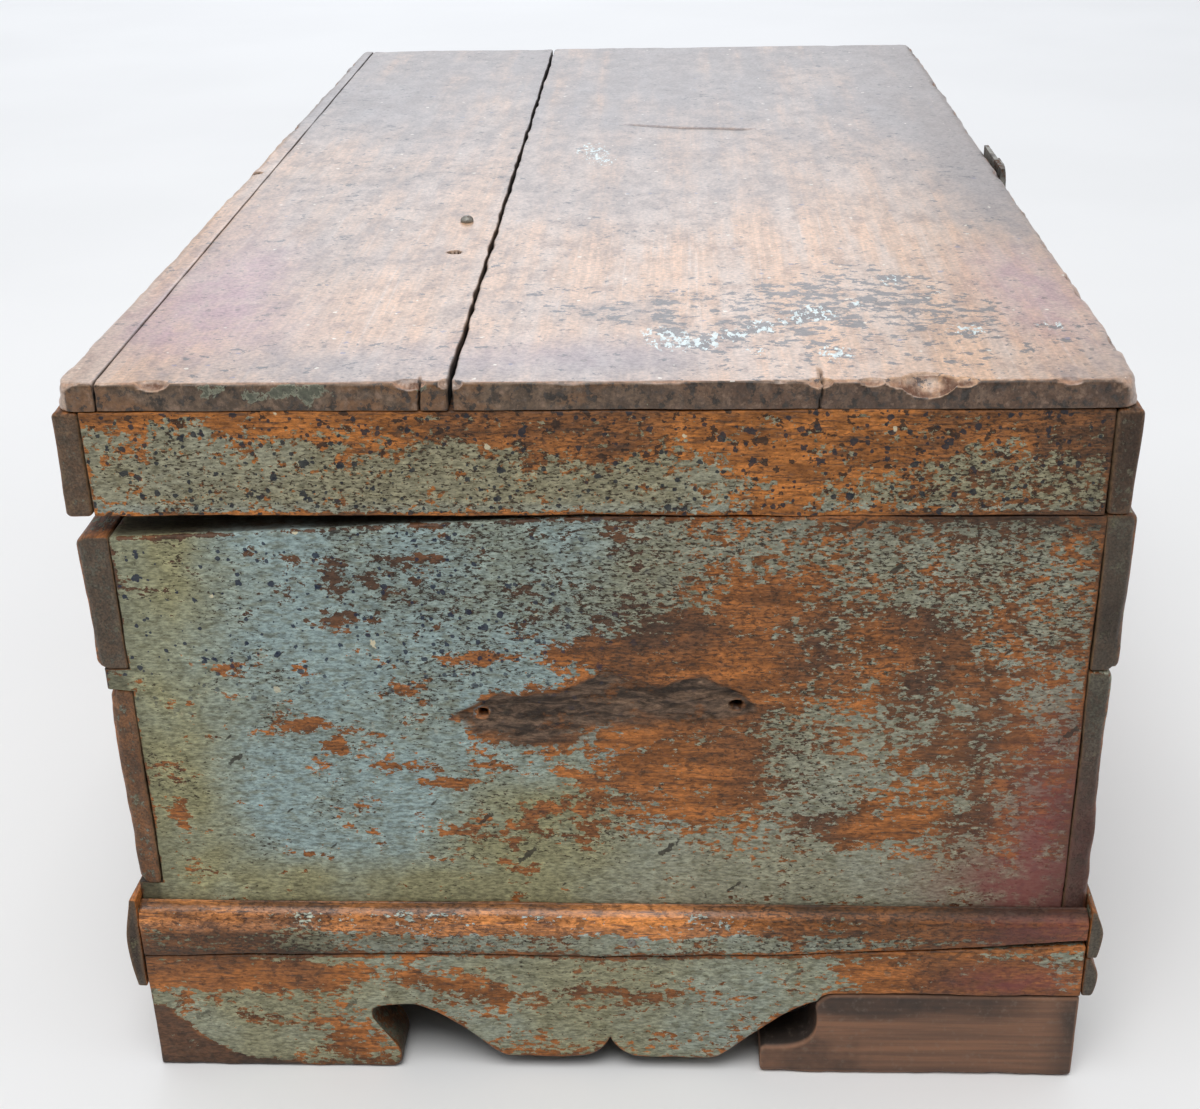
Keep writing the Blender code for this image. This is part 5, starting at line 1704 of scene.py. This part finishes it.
    def bands(self) -> None:
        """The swelling bands along the front and the back: thickness foot + arch of the height."""
        for seed, node in enumerate(("front_upper_band", "front_lower_band", "back_band")):
            low, high = corners(node)
            back = node.startswith("back")
            board = Board(low, high, (0.0045, 0.0016, 0.0022), 0.0010, 0.003, 75 + seed, 0.0005, 0.0003,
                          limits=partial(self.band_limits, low, high, back))
            skin = board.skin()
            lean = (0, 0.5 if back else -0.5, -0.86)
            balls = nicks(low, high, lean, 12, (0.002, 0.005), 77 + seed)
            skin.points = bite(skin.points, *balls)
            wear = weather(skin, 76 + seed, 0.62, 0.5, 0.1)
            wear.end = skin.either_way(0)
            self.dress(node, skin, self.finishes.paint_along, wear)

    def build(self) -> None:
        """Builds the plinth."""
        self.aprons()
        self.foot_block()
        self.mouldings()
        self.bands()


@dataclass
class Lid(SubAssembly):
    """Top planks, skirt boards and battens."""

    body: ClassVar[Body] = Body.LID
    strip_line: Pair = (0.19525, 0.20325)
    strip_gap: float = 0.0003
    back_plank_width: float = 0.1375
    joint_gap: float = 0.0016
    edge_round: float = 0.0052
    corner_round: float = 0.0085
    splits: tuple[Pair, ...] = ((0.0683, 0.007), (-0.0855, 0.018))
    nail_holes: tuple[Pair, ...] = ((-0.1886, 0.0751), (-0.024, 0.2072))
    dent_x: float = 0.080
    nick_inset: float = 0.0012
    skirt_lap: float = 0.0105
    skirt_inner: float = 0.3507
    chips: tuple[tuple[float, float, float], ...] = (
        (-0.1256, 0.0115, 0.0068), (-0.1045, 0.0085, 0.0022), (0.1720, 0.0090, 0.0030), (0.0720, 0.0085, 0.0026),
        (-0.0850, 0.0060, 0.0030), (-0.1793, 0.0065, 0.0020), (-0.1390, 0.0075, 0.0026), (0.0560, 0.0050, 0.0030),
        (-0.1150, 0.0070, 0.0030), (0.0100, 0.0090, 0.0014), (-0.0300, 0.0080, 0.0012), (0.1380, 0.0060, 0.0012))
    flake_spots: tuple[Patch, ...] = (
        (-321, -34, 9, 13, 1.0), (-308, -24, 6, 7, 0.7), (-312, -53, 6, 6, 0.7), (-302, -66, 8, 6, 0.85),
        (-284, -88, 9, 8, 1.0), (-294, -79, 6, 5, 0.7), (-335, -93, 8, 6, 0.95), (-333, -63, 4, 6, 0.6),
        (-307, -149, 6, 8, 0.7), (-302, -184, 6, 6, 0.5), (24, 20, 18, 8, 0.7), (-1, 13, 12, 7, 0.8),
        (-237, -124, 7, 6, 0.65), (-270, -106, 6, 5, 0.5), (-255, -141, 5, 4, 0.5))
    stain_spots: tuple[Patch, ...] = (
        (-255, 176, 55, 24, 0.95), (-300, 168, 36, 36, 0.85), (-215, 165, 40, 18, 0.5), (-270, -185, 60, 22, 0.75),
        (-150, 185, 60, 20, 0.25), (-335, 20, 20, 60, 0.35), (-220, -180, 40, 20, 0.4))
    film_spots: tuple[Patch, ...] = (
        (-345, 90, 26, 70, 0.5), (-290, 150, 80, 55, 0.28), (-190, 150, 90, 60, 0.06), (-340, -5, 28, 55, 0.6),
        (-280, -10, 22, 26, 0.35), (-278, 30, 16, 50, 0.2), (-230, -60, 60, 50, -0.3), (-262, -118, 80, 66, -0.85),
        (-200, 20, 50, 40, -0.1), (-130, 130, 90, 40, -0.12), (-50, 70, 50, 14, -0.25), (-350, -190, 26, 26, 0.2),
        (0, -190, 300, 18, 0.2), (-120, -120, 90, 60, -0.12), (-130, 214, 220, 11, -0.6))
    fleck_spots: tuple[Patch, ...] = (
        (-290, -120, 60, 60, 1.0), (-300, -60, 40, 40, 0.9), (-265, -40, 30, 30, 0.6), (-240, -110, 40, 50, 0.7),
        (-280, 0, 22, 40, 0.9), (-340, 110, 20, 70, 0.5), (-325, 60, 16, 40, 0.5), (-310, -180, 30, 30, 0.7),
        (-100, -60, 120, 80, -0.3), (-200, 120, 60, 50, -0.2))
    paint_line: tuple[Pair, ...] = (
        (-0.19, 0.309), (-0.14, 0.311), (-0.10, 0.308), (-0.06, 0.302), (0.0, 0.298), (0.04, 0.297), (0.068, 0.289),
        (0.076, 0.286), (0.10, 0.294), (0.12, 0.294), (0.155, 0.299), (0.175, 0.303), (0.195, 0.296))
    chipped_strips: tuple[Pair, ...] = ((-0.147, -0.076), (0.052, 0.078), (0.160, 0.182))

    def joint_line(self, x: Array, offset: float, seed: int, ragged: float) -> Array:
        """A long joint's y at each x: a line that tapers from end to end, less an offset, with a ragged edge.

        Args:
            x: (N,) places along the lid.
            offset: Distance in front of the back strip's joint.
            seed: Which noise to use.
            ragged: Height of the noise.

        Returns:
            (N,) values of y.
        """
        low, high = corners("lid_back_strip")
        share = (x - low[0]) / (high[0] - low[0])
        line = self.strip_line[0] + share * (self.strip_line[1] - self.strip_line[0])
        along = np.stack((x, np.zeros_like(x), np.zeros_like(x)), axis=1)
        return line - offset + ragged * noise(along, 0.012, seed, 4)

    def top_board(self, node: str, back_line: Pair | None, front_line: Pair | None,
                  seed: int) -> None:
        """One top plank between two long lines; a missing line is the lid's own rounded edge.

        Args:
            node: The CAD node that it stands for.
            back_line: Offset and raggedness of its back joint.
            front_line: Offset and raggedness of its front joint.
            seed: Which noise to use.
        """
        low, high = corners(node)

        def limits(start: Array) -> ArrayPair:
            """Sets the long sides to the joint lines, and rounds the lid's own corners by a quarter circle.

            Args:
                start: (N, 3) points of the plain box.

            Returns:
                Lowest and highest corner for each point.
            """
            lows, highs = same_box(start, low, high)
            if back_line:
                highs[:, 1] = self.joint_line(start[:, 0], back_line[0], seed, back_line[1])
            if front_line:
                lows[:, 1] = self.joint_line(start[:, 0], front_line[0], seed + 50, front_line[1])
            round_off = self.corner_round
            for line, gap in ((back_line, high[1] - start[:, 1]), (front_line, start[:, 1] - low[1])):
                if not line:
                    short = np.clip(round_off - gap, 0.0, round_off)
                    inset = round_off - np.sqrt(round_off**2 - short**2)
                    lows[:, 0] += inset
                    highs[:, 0] -= inset
            return lows, highs

        def radii(start: Array) -> Array:
            """A larger radius along the lid's own upper edges.

            Args:
                start: (N, 3) points of the plain box.

            Returns:
                (N,) radii.
            """
            radius = np.full(len(start), 0.0008)
            upper = smooth(start[:, 2], low[2] + 0.002, low[2] + 0.006)
            if not back_line:
                radius += (self.edge_round - 0.0008) * smooth(start[:, 1], high[1] - 0.012, high[1] - 0.006) * upper
            if not front_line:
                radius += (self.edge_round - 0.0008) * smooth(start[:, 1], low[1] + 0.012, low[1] + 0.006) * upper
            ends = np.minimum(start[:, 0] - low[0], high[0] - start[:, 0])
            return np.maximum(radius, 0.0018 * smooth(ends, 0.006, 0.002) * upper)

        inside = [place for place, _ in self.splits if low[1] < place < high[1]]
        holes = [hole for hole in self.nail_holes if low[1] < hole[1] < high[1]]
        cracks = around(inside, 0.0012, 7)
        dense = np.concatenate([np.arange(start, end, 0.0009) for start, end in self.chipped_strips])
        dense = dense[(dense > low[1] + 0.004) & (dense < high[1] - 0.004)]
        extra_y = cracks + around([hole[1] for hole in holes], 0.0042, 11) + list(dense)
        extra_x = around([hole[0] for hole in holes], 0.0042, 11)
        if front_line is None:
            extra_x += list(self.dent_x + np.linspace(-0.003, 0.019, 20))
        near = np.linspace(low[0], low[0] + 0.03, 14)
        board = Board(low, high, (0.0050, 0.0028, 0.0020), seed=seed, edge=0.006, wander=0.0002, swell=0.00022,
                      extra=([*extra_x, *near], extra_y, ()), limits=limits, radii=radii)
        skin = board.skin()
        moved = self.chip(skin, low, high, back_line is None, front_line is None, seed)
        wear = self.top_wear(skin, seed)
        wear.fresh = smooth(moved, 0.0007, 0.0018) * smooth(skin.noise(0.008, 21, 3), -0.4, 0.3)
        wear.end *= 1.0 - smooth(moved, 0.0001, 0.0004)
        self.split(skin, wear, low, high)
        x, y, z = skin.points.T
        for line, shift in ((back_line, 0), (front_line, 50)):
            if line:
                away = np.abs(y - self.joint_line(x, line[0], seed + shift, line[1]))
                near = smooth(away, 0.0045, 0.0025)
                wear.rim = np.maximum(wear.rim, 0.01 * near)
                deep = near * smooth(z, high[2] - 0.0012, high[2] - 0.0045) * (1.0 - wear.end)
                dark = np.maximum(deep, 0.6 * smooth(away, 0.0007, 0.0002))
                wear.crack = np.maximum(wear.crack, dark * (1.0 - wear.under))
        self.dress(node, skin, self.finishes.top, wear)

    def chip(self, skin: WornSkin, low: Array, high: Array, back_edge: bool, front_edge: bool, seed: int) -> Array:
        """Bites the known chips out of the near edge, scatters small ones along the others, and leaves torn fibres.

        Args:
            skin: The board.
            low: Its lowest corner.
            high: Its highest corner.
            back_edge: Whether its back edge is the lid's own.
            front_edge: Whether its front edge is the lid's own.
            seed: Which scatter to use.

        Returns:
            How far each point was pushed.
        """
        y, size, depth = np.array(self.chips).T
        centres = np.stack((low[0] - 0.55 * (size - depth), y, high[2] + 0.83 * (size - depth)), axis=1)
        parts = [(centres, size[:, None] * np.array((1.0, 1.15, 1.0)))]
        parts.append(nicks(low, high, (-0.5, 0, 0.87), 9, (0.002, 0.004), seed))
        parts.append(nicks(low, high, (0.5, 0, 0.87), 14, (0.003, 0.008), seed + 1))
        if front_edge:
            parts.append(nicks(low, high, (0, -0.7, 0.7), 34, (0.003, 0.009), seed + 2, self.nick_inset))
        if back_edge:
            parts.append(nicks(low, high, (0, 0.7, 0.7), 22, (0.003, 0.008), seed + 3, self.nick_inset))
        chipped = bite_groups(skin.points, parts)
        moved = np.linalg.norm(chipped - skin.points, axis=1)
        torn = 0.0007 * smooth(moved, 0.0002, 0.0010) * noise(chipped, (0.007, 0.0016, 0.0016), seed + 7, 3)
        skin.points = chipped - skin.outward * np.abs(torn)[:, None]
        return moved

    def split(self, skin: WornSkin, wear: Wear, low: Array, high: Array) -> None:
        """Opens the short end splits, the nail hole and the curved dent, and marks them dark; the hole's near-black is
        painted shade.

        Args:
            skin: The board.
            wear: What it has already.
            low: Its lowest corner.
            high: Its highest corner.
        """
        x, y, z = skin.points.T
        crack = np.zeros(len(x))
        for place, reach in self.splits:
            wander = place + 0.0006 * noise(np.stack((x * 0 + z, x, x * 0), axis=1), 0.006, 12, 2)
            close = smooth(np.abs(y - wander), 0.0007, 0.0001)
            crack = np.maximum(crack, close * smooth(x - low[0], reach, 0.4 * reach))
        upper = smooth(z, high[2] - 0.004, high[2] - 0.001)
        push = np.stack((0.0022 * crack * (1.0 - upper), 0.0 * crack, -0.0022 * crack * upper), axis=1)
        reach = np.min([np.hypot(x - spot[0], y - spot[1]) for spot in self.nail_holes], axis=0)
        hole = smooth(reach + 0.0006 * skin.noise(0.003, 13, 2), 0.0034, 0.0024) * upper
        bow = self.dent_x + 0.014 * smooth(y, -0.045, 0.012) - 0.006 * smooth(y, -0.045, -0.09)
        dent = np.exp(-(((x - bow) / 0.0024) ** 2)) * smooth(np.abs(y + 0.038), 0.052, 0.030) * upper
        push[:, 2] -= 0.007 * hole + 0.0011 * dent
        skin.points = skin.points + push
        # The splits and the dent are marked dark, and the nail hole near-black as painted shade.
        wear.crack = unit(np.maximum(crack, smooth(hole, 0.01, 0.12)) + 0.6 * smooth(dent, 0.5, 1.0))

    def top_wear(self, skin: WornSkin, seed: int) -> Wear:
        """Film, flakes, stains and end grain of the lid's top.

        Args:
            skin: The board.
            seed: Which noise to use.

        Returns:
            Its wear.
        """
        x, y, z = skin.points.T
        low, high = corners("lid_back_strip")
        end = smooth(np.minimum(x - low[0], high[0] - x) + 0.0003 * skin.noise(0.004, 22, 2), 0.0011, 0.0005)
        film = 0.17 + 0.38 * smooth(x, -0.30, -0.05) + 0.36 * smooth(x, -0.02, 0.22) + 0.25 * smooth(y, -0.14, -0.21)
        streaks = 0.42 * smooth(x, -0.05, 0.20) * skin.noise((0.16, 0.012, 0.05), seed + 9, 4)
        crust = ((128, 328, 16, 4, 1.0), (112, 329, 10, 4, 0.8), (152, 328, 5, 4, 0.9), (66, 330, 5, 3, 0.8))
        return Wear(
            film=film + 0.10 * skin.noise(0.07, seed, 4) + streaks + patches(x, y, self.film_spots),
            flake=unit(patches(x, y, self.flake_spots)) * skin.facing((0, 0, 1)),
            flecked=np.clip(patches(x, y, self.fleck_spots), -0.5, 1.0),
            stain=unit(patches(x, y, self.stain_spots)),
            crust=patches(y, z, crust) * end,
            blush=smooth(y, 0.03, -0.08) * end,
            end=end,
            under=skin.facing((0, 0, -1)),
            rim=skin.rim,
        )

    def skirt_wear(self, skin: WornSkin, node: str, seed: int) -> Wear:
        """Wear of a skirt board: bare above, painted below, with listed lines and spots on the seen end.

        Args:
            skin: The board.
            node: Its CAD node.
            seed: Which noise to use.

        Returns:
            Its wear.
        """
        wear = weather(skin, seed, 0.55, 0.6, 0.6)
        _, y, z = skin.points.T
        if node == "lid_left_skirt":
            line = np.interp(-y, *np.array(self.paint_line).T)
            ragged = 0.010 * skin.noise(0.020, seed, 4)
            sparse = 0.22 * smooth(y, -0.02, -0.08)
            wear.bare = 0.22 + sparse + (0.62 - sparse) * smooth(z + ragged - line, -0.006, 0.009)
            wear.bare += 0.35 * smooth(z, 0.2795, 0.2768) + 0.35 * patches(y, z, ((-70, 285, 14, 12, 1.0),))
            wear.tint = unit(0.95 - 0.6 * smooth(z, 0.284, 0.279) + 0.25 * skin.noise(0.05, 5, 3))
            wear.drops = 1.0
            wear.pitted = 0.75
            wear.blots = 0.9
            wear.char = unit(0.18 * smooth(y, -0.10, -0.19) + 0.25 * skin.noise(0.04, 16, 3))
            wear.grime = unit(0.2 * smooth(y, -0.170, -0.197) + 0.2 * smooth(z, 0.317, 0.3205))
        return wear

    def skirts(self) -> None:
        """The four skirt boards; the long ones lap the ends of the short ones."""
        for seed, (node, side) in enumerate((("lid_left_skirt", -1), ("lid_right_skirt", 1))):
            skin = Board(*corners(node), (0.004, 0.0018, 0.0016), 0.0013, seed=100 + seed, wander=0.0004,
                         swell=0.0003).skin()
            wear = self.skirt_wear(skin, node, 102 + seed)
            wear.inside = skin.facing((-side, 0, 0))
            wear.end = skin.either_way(1)
            self.dress(node, skin, self.finishes.crust_across, wear)
        for seed, (node, out) in enumerate((("lid_front_skirt", -1), ("lid_back_skirt", 1))):
            low, high = corners(node)
            edge = (low if out < 0 else high)[1]
            limits = partial(lapped, low, high, self.skirt_inner, edge - out * self.skirt_lap, out, None)
            skin = Board(low, high, (0.0045, 0.003, 0.0025), 0.0022, seed=110 + seed, wander=0.0006, swell=0.0005,
                         extra=(both_sides((-self.skirt_inner, self.skirt_inner)), (), ()), limits=limits).skin()
            balls = [nicks(low, high, (0, 0.7 * out, 0.7 * up), 22, (0.002, 0.006), 115 + seed + up) for up in (-1, 1)]
            skin.points = bite_groups(skin.points, balls)
            wear = weather(skin, 112 + seed, 0.6, 0.6, 0.4)
            wear.end = 0.75 * skin.either_way(0)
            wear.inside = skin.facing((0, -out, 0))
            self.dress(node, skin, self.finishes.crust_along, wear)

    def build(self) -> None:
        """Builds the lid."""
        gap = self.strip_gap
        front = gap + self.back_plank_width
        self.top_board("lid_back_strip", None, (0.0, 0.00012), 120)
        self.top_board("lid_back_plank", (gap, 0.00012), (front, 0.0005), 121)
        self.top_board("lid_front_plank", (front + self.joint_gap, 0.0006), None, 122)
        self.skirts()
        battens = ("lid_left_batten", "lid_right_batten")
        self.plain(battens, (0.006, 0.008, 0.004), 0.0014, 130, self.finishes.bare_across)


@dataclass
class Ironwork(SubAssembly):
    """Hinges, hasp and staple keep their CAD shape; nails are added."""

    nodes: tuple[str, ...] = (
        "left_hinge_lid_leaf", "left_hinge_body_leaf", "left_hinge_pin", "right_hinge_lid_leaf",
        "right_hinge_body_leaf", "right_hinge_pin", "hasp_plate", "hasp_strap", "hasp_pin", "hasp_staple")
    proud_nail: Pair = (-0.1328, 0.0756)
    moulding_nail: Pair = (-0.0106, 0.0728)
    leaf_thickness: float = 0.0027
    sunk: float = 0.0001
    rings: int = 6
    sides: int = 14

    def nails(self, name: str, places: Array, ways: Array, radius: float, rise: float, body: Body) -> None:
        """Hammered nail heads: a dome r cos(a), rise sin(a) turned about the way out, its rim set in the wood.

        Args:
            name: Name of the piece.
            places: (K, 3) places on the wood.
            ways: (K, 3) ways out of the wood.
            radius: Radius of the heads.
            rise: Height of the heads.
            body: The body that carries them.
        """
        angle = np.linspace(-0.5, np.pi / 2 - 0.08, self.rings)
        turn = np.linspace(0.0, 2.0 * np.pi, self.sides, endpoint=False)
        out = radius * np.cos(angle)[:, None] * np.ones_like(turn)
        up = rise * np.sin(angle)[:, None] * np.ones_like(turn)
        places, ways = np.asarray(places, float), np.asarray(ways, float)
        aside = np.where(np.abs(ways[:, 2:3]) > 0.9, (1.0, 0.0, 0.0), (0.0, 0.0, 1.0))
        first = np.cross(ways, aside)
        first /= np.linalg.norm(first, axis=1, keepdims=True)
        second = np.cross(ways, first)
        dome = (places[:, None, None] + up[None, ..., None] * ways[:, None, None]
                + out[None, ..., None] * (np.cos(turn)[:, None] * first[:, None, None]
                                          + np.sin(turn)[:, None] * second[:, None, None]))
        count = len(places)
        ring = np.arange(self.rings * self.sides).reshape(self.rings, self.sides)
        nxt = np.roll(ring, -1, axis=1)
        side = np.stack((ring[:-1], nxt[:-1], nxt[1:], ring[1:]), axis=-1).reshape(-1, 4)
        half = self.sides // 2
        fan = np.arange(1, half)
        caps = []
        for row, flip in ((ring[-1], False), (ring[0], True)):
            strip = np.stack((row[fan - 1], row[fan], row[-fan - 1], row[-fan]), axis=1)
            caps.append(strip[:, ::-1] if flip else strip)
        quads = np.concatenate((side, *caps))
        every = (quads[None] + (np.arange(count) * ring.size)[:, None, None]).reshape(-1, 4)
        piece = make_piece(name, dome.reshape(-1, 3), every, self.finishes.iron.material, body)

    def build(self) -> None:
        """Dresses the iron and drives the nails."""
        for node in self.nodes:
            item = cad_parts[node]
            item.data.materials.clear()
            item.data.materials.append(self.finishes.iron.material)
        top = corners("lid_front_plank")[1][2]
        self.nails("lid_proud_nail", [(*self.proud_nail, top + 0.0006)], [(0.0, 0.12, 0.99)], 0.0034, 0.0026, Body.LID)
        end_x = corners("left_end_moulding")[0][0]
        spot = (end_x - self.sunk, *self.moulding_nail)
        self.nails("moulding_nail", [spot], [(-1.0, 0.0, 0.0)], 0.0020, 0.0009, Body.CHEST)
        self.leaf_nails()
        walls = [(f"{wall}_{row}_plank", out) for wall, out in (("front", -1), ("back", 1))
                 for row in ("lower", "upper")]
        self.wall_nails("wall_nails", walls, 0.012, (0.28, 0.72), 0.0027, Body.CHEST)
        skirts = (("lid_front_skirt", -1), ("lid_back_skirt", 1))
        self.wall_nails("skirt_nails", skirts, 0.009, (0.3, 0.7), 0.0026, Body.LID)

    def leaf_nails(self) -> None:
        """Nails through the hinge leaves and the hasp plate."""
        for body, label in ((Body.LID, "lid_leaf"), (Body.CHEST, "body_leaf")):
            spots = []
            for side in ("left", "right"):
                low, high = corners(f"{side}_hinge_{label}")
                face = corners("lid_back_skirt")[1][1] if body is Body.LID else corners("back_upper_plank")[1][1]
                upper = high[2] - 0.009 if body is Body.LID else low[2] + 0.009
                lower = high[2] - 0.026 if body is Body.LID else low[2] + 0.023
                for x in (low[0] + 0.010, high[0] - 0.010):
                    spots += [(x, face + self.leaf_thickness, z) for z in (upper, lower)]
            self.nails(f"{label}_nails", spots, np.tile((0.0, 1.0, 0.0), (len(spots), 1)), 0.0030, 0.0012, body)
        low, high = corners("hasp_plate")
        face = corners("lid_front_skirt")[0][1] - self.leaf_thickness
        spots = [(x, face, z) for x in (low[0] + 0.006, high[0] - 0.006) for z in (high[2] - 0.008, high[2] - 0.030)]
        self.nails("hasp_plate_nails", spots, np.tile((0.0, -1.0, 0.0), (4, 1)), 0.0028, 0.0012, Body.LID)

    def wall_nails(self, name: str, boards: Sequence[tuple[str, int]], inset: float, shares: Pair,
                   radius: float, body: Body) -> None:
        """Nails near both ends of boards that face the front (-1) or the back (1).

        Args:
            name: Name of the piece.
            boards: Each board's node and the way it faces.
            inset: Distance from the board's ends.
            shares: Heights, as shares of the board's height.
            radius: Radius of the heads.
            body: The body that carries them.
        """
        spots, ways = [], []
        for node, out in boards:
            low, high = corners(node)
            face = high[1] if out > 0 else low[1]
            for x in (low[0] + inset, high[0] - inset):
                for share in shares:
                    spots.append((x, face - self.sunk * out, low[2] + share * (high[2] - low[2])))
                    ways.append((0.0, float(out), 0.0))
        self.nails(name, np.array(spots), np.array(ways), radius, 0.0010, body)


@dataclass
class Studio:
    """Floor, soft light and the camera."""

    floor_half: float = 14.0
    focal_pixels: float = 1729.91
    picture_width: int = 1200
    sensor: float = 36.0
    yaw: float = 0.05176
    pitch: float = 0.4514
    roll: float = -0.02252
    eye: tuple[float, float, float] = (-0.98733, -0.03203, 0.5604)
    sky: Colour = (0.97, 0.98, 1.0)
    sky_strength: float = 0.76
    floor_tone: Colour = (0.89, 0.895, 0.90)
    card_tone: Colour = (0.03, 0.03, 0.03)
    card_x: float = -2.6
    card_size: Pair = (10.0, 2.1)

    def sheet(self, name: str, corner: Vec, first: Vec, second: Vec,
              tone: Colour) -> None:
        """A flat sheet: corner + s first + t second, for s and t from 0 to 1.

        Args:
            name: Its name.
            corner: One corner.
            first: One side, as a vector.
            second: The other side.
            tone: Its colour.
        """
        s, t = np.meshgrid(np.linspace(0.0, 1.0, 41), np.linspace(0.0, 1.0, 41), indexing="ij")
        points = np.asarray(corner) + s[..., None] * np.asarray(first) + t[..., None] * np.asarray(second)
        key = np.arange(s.size).reshape(s.shape)
        quads = np.stack((key[:-1, :-1], key[1:, :-1], key[1:, 1:], key[:-1, 1:]), axis=-1).reshape(-1, 4)
        mesh = bpy.data.meshes.new(name)
        mesh.from_pydata(points.reshape(-1, 3).tolist(), [], quads.tolist())
        mesh.materials.append(PaleFloor(f"{name}_finish", tone).build())
        item = bpy.data.objects.new(name, mesh)
        item.visible_camera = name == "floor"
        bpy.context.scene.collection.objects.link(item)

    def lamp(self, name: str, place: Vec, aim: Vec, size: Pair, power: float,
             tone: Colour) -> None:
        """A soft oblong lamp that looks at a point.

        Args:
            name: Its name.
            place: Where it hangs.
            aim: The point.
            size: Its two sides.
            power: Its power in watts.
            tone: Its colour.
        """
        light = bpy.data.lights.new(name, "AREA")
        light.shape = "RECTANGLE"
        light.size, light.size_y = size
        light.energy = power
        light.color = tone
        item = bpy.data.objects.new(name, light)
        item.visible_camera = False
        item.location = place
        item.rotation_euler = (Vector(aim) - Vector(place)).to_track_quat("-Z", "Y").to_euler()
        bpy.context.scene.collection.objects.link(item)

    def lights(self) -> None:
        """A pale sky all round, a wide panel behind the chest and one above the camera's side."""
        world = bpy.data.worlds.new("studio")
        world.use_nodes = True
        background = world.node_tree.nodes["Background"]
        background.inputs["Color"].default_value = (*self.sky, 1.0)
        background.inputs["Strength"].default_value = self.sky_strength
        bpy.context.scene.world = world
        self.lamp("back_panel", (4.2, 0.35, 2.4), (0.0, 0.05, 0.3), (2.3, 2.0), 26.5, (0.88, 0.95, 1.06))
        self.lamp("backdrop_panel", (2.6, 1.3, 2.6), (2.6, 1.1, 0.0), (2.2, 2.2), 7.0, (0.97, 0.98, 1.0))
        self.lamp("front_panel", (-1.4, 0.2, 2.6), (-0.37, 0.0, 0.15), (1.5, 1.5), 37.0, (1.0, 0.99, 0.97))

    def camera(self) -> None:
        """The photograph's viewpoint, from yaw, pitch and roll."""
        flat = np.array((np.cos(self.yaw), np.sin(self.yaw), 0.0))
        right = np.array((np.sin(self.yaw), -np.cos(self.yaw), 0.0))
        up = np.array((0.0, 0.0, 1.0))
        forward = flat * np.cos(self.pitch) - up * np.sin(self.pitch)
        rise = flat * np.sin(self.pitch) + up * np.cos(self.pitch)
        side = right * np.cos(self.roll) + rise * np.sin(self.roll)
        head = rise * np.cos(self.roll) - right * np.sin(self.roll)
        data = bpy.data.cameras.new("camera")
        data.sensor_fit = "HORIZONTAL"
        data.sensor_width = self.sensor
        data.lens = self.focal_pixels * self.sensor / self.picture_width
        data.clip_start = 0.02
        item = bpy.data.objects.new("camera", data)
        rows = np.column_stack((side, head, -forward, self.eye))
        item.matrix_world = Matrix([*rows.tolist(), (0.0, 0.0, 0.0, 1.0)])
        bpy.context.scene.collection.objects.link(item)
        bpy.context.scene.camera = item

    def build(self) -> None:
        """Sets the stage."""
        half = self.floor_half
        corner = (self.card_x, -half, -0.0004)
        self.sheet("floor", corner, (half - self.card_x, 0, 0), (0, 2 * half, 0), self.floor_tone)
        wide, tall = self.card_size
        self.sheet("dark_card", (self.card_x, -wide / 2, 0.0), (0, wide, 0), (0, 0, tall), self.card_tone)
        self.lights()
        self.camera()
        bpy.context.scene.view_settings.view_transform = "Standard"


def main() -> None:
    """Builds the studio and the sub-assemblies in order."""
    logging.basicConfig(level=logging.INFO, format="%(name)s %(message)s")
    Studio().build()
    finishes = Finishes.make()
    for part in (ChestBody(finishes), Plinth(finishes), Lid(finishes), Ironwork(finishes)):
        part.build()
        LOG.info("%s built", type(part).__name__)


if __name__ == "__main__":
    main()
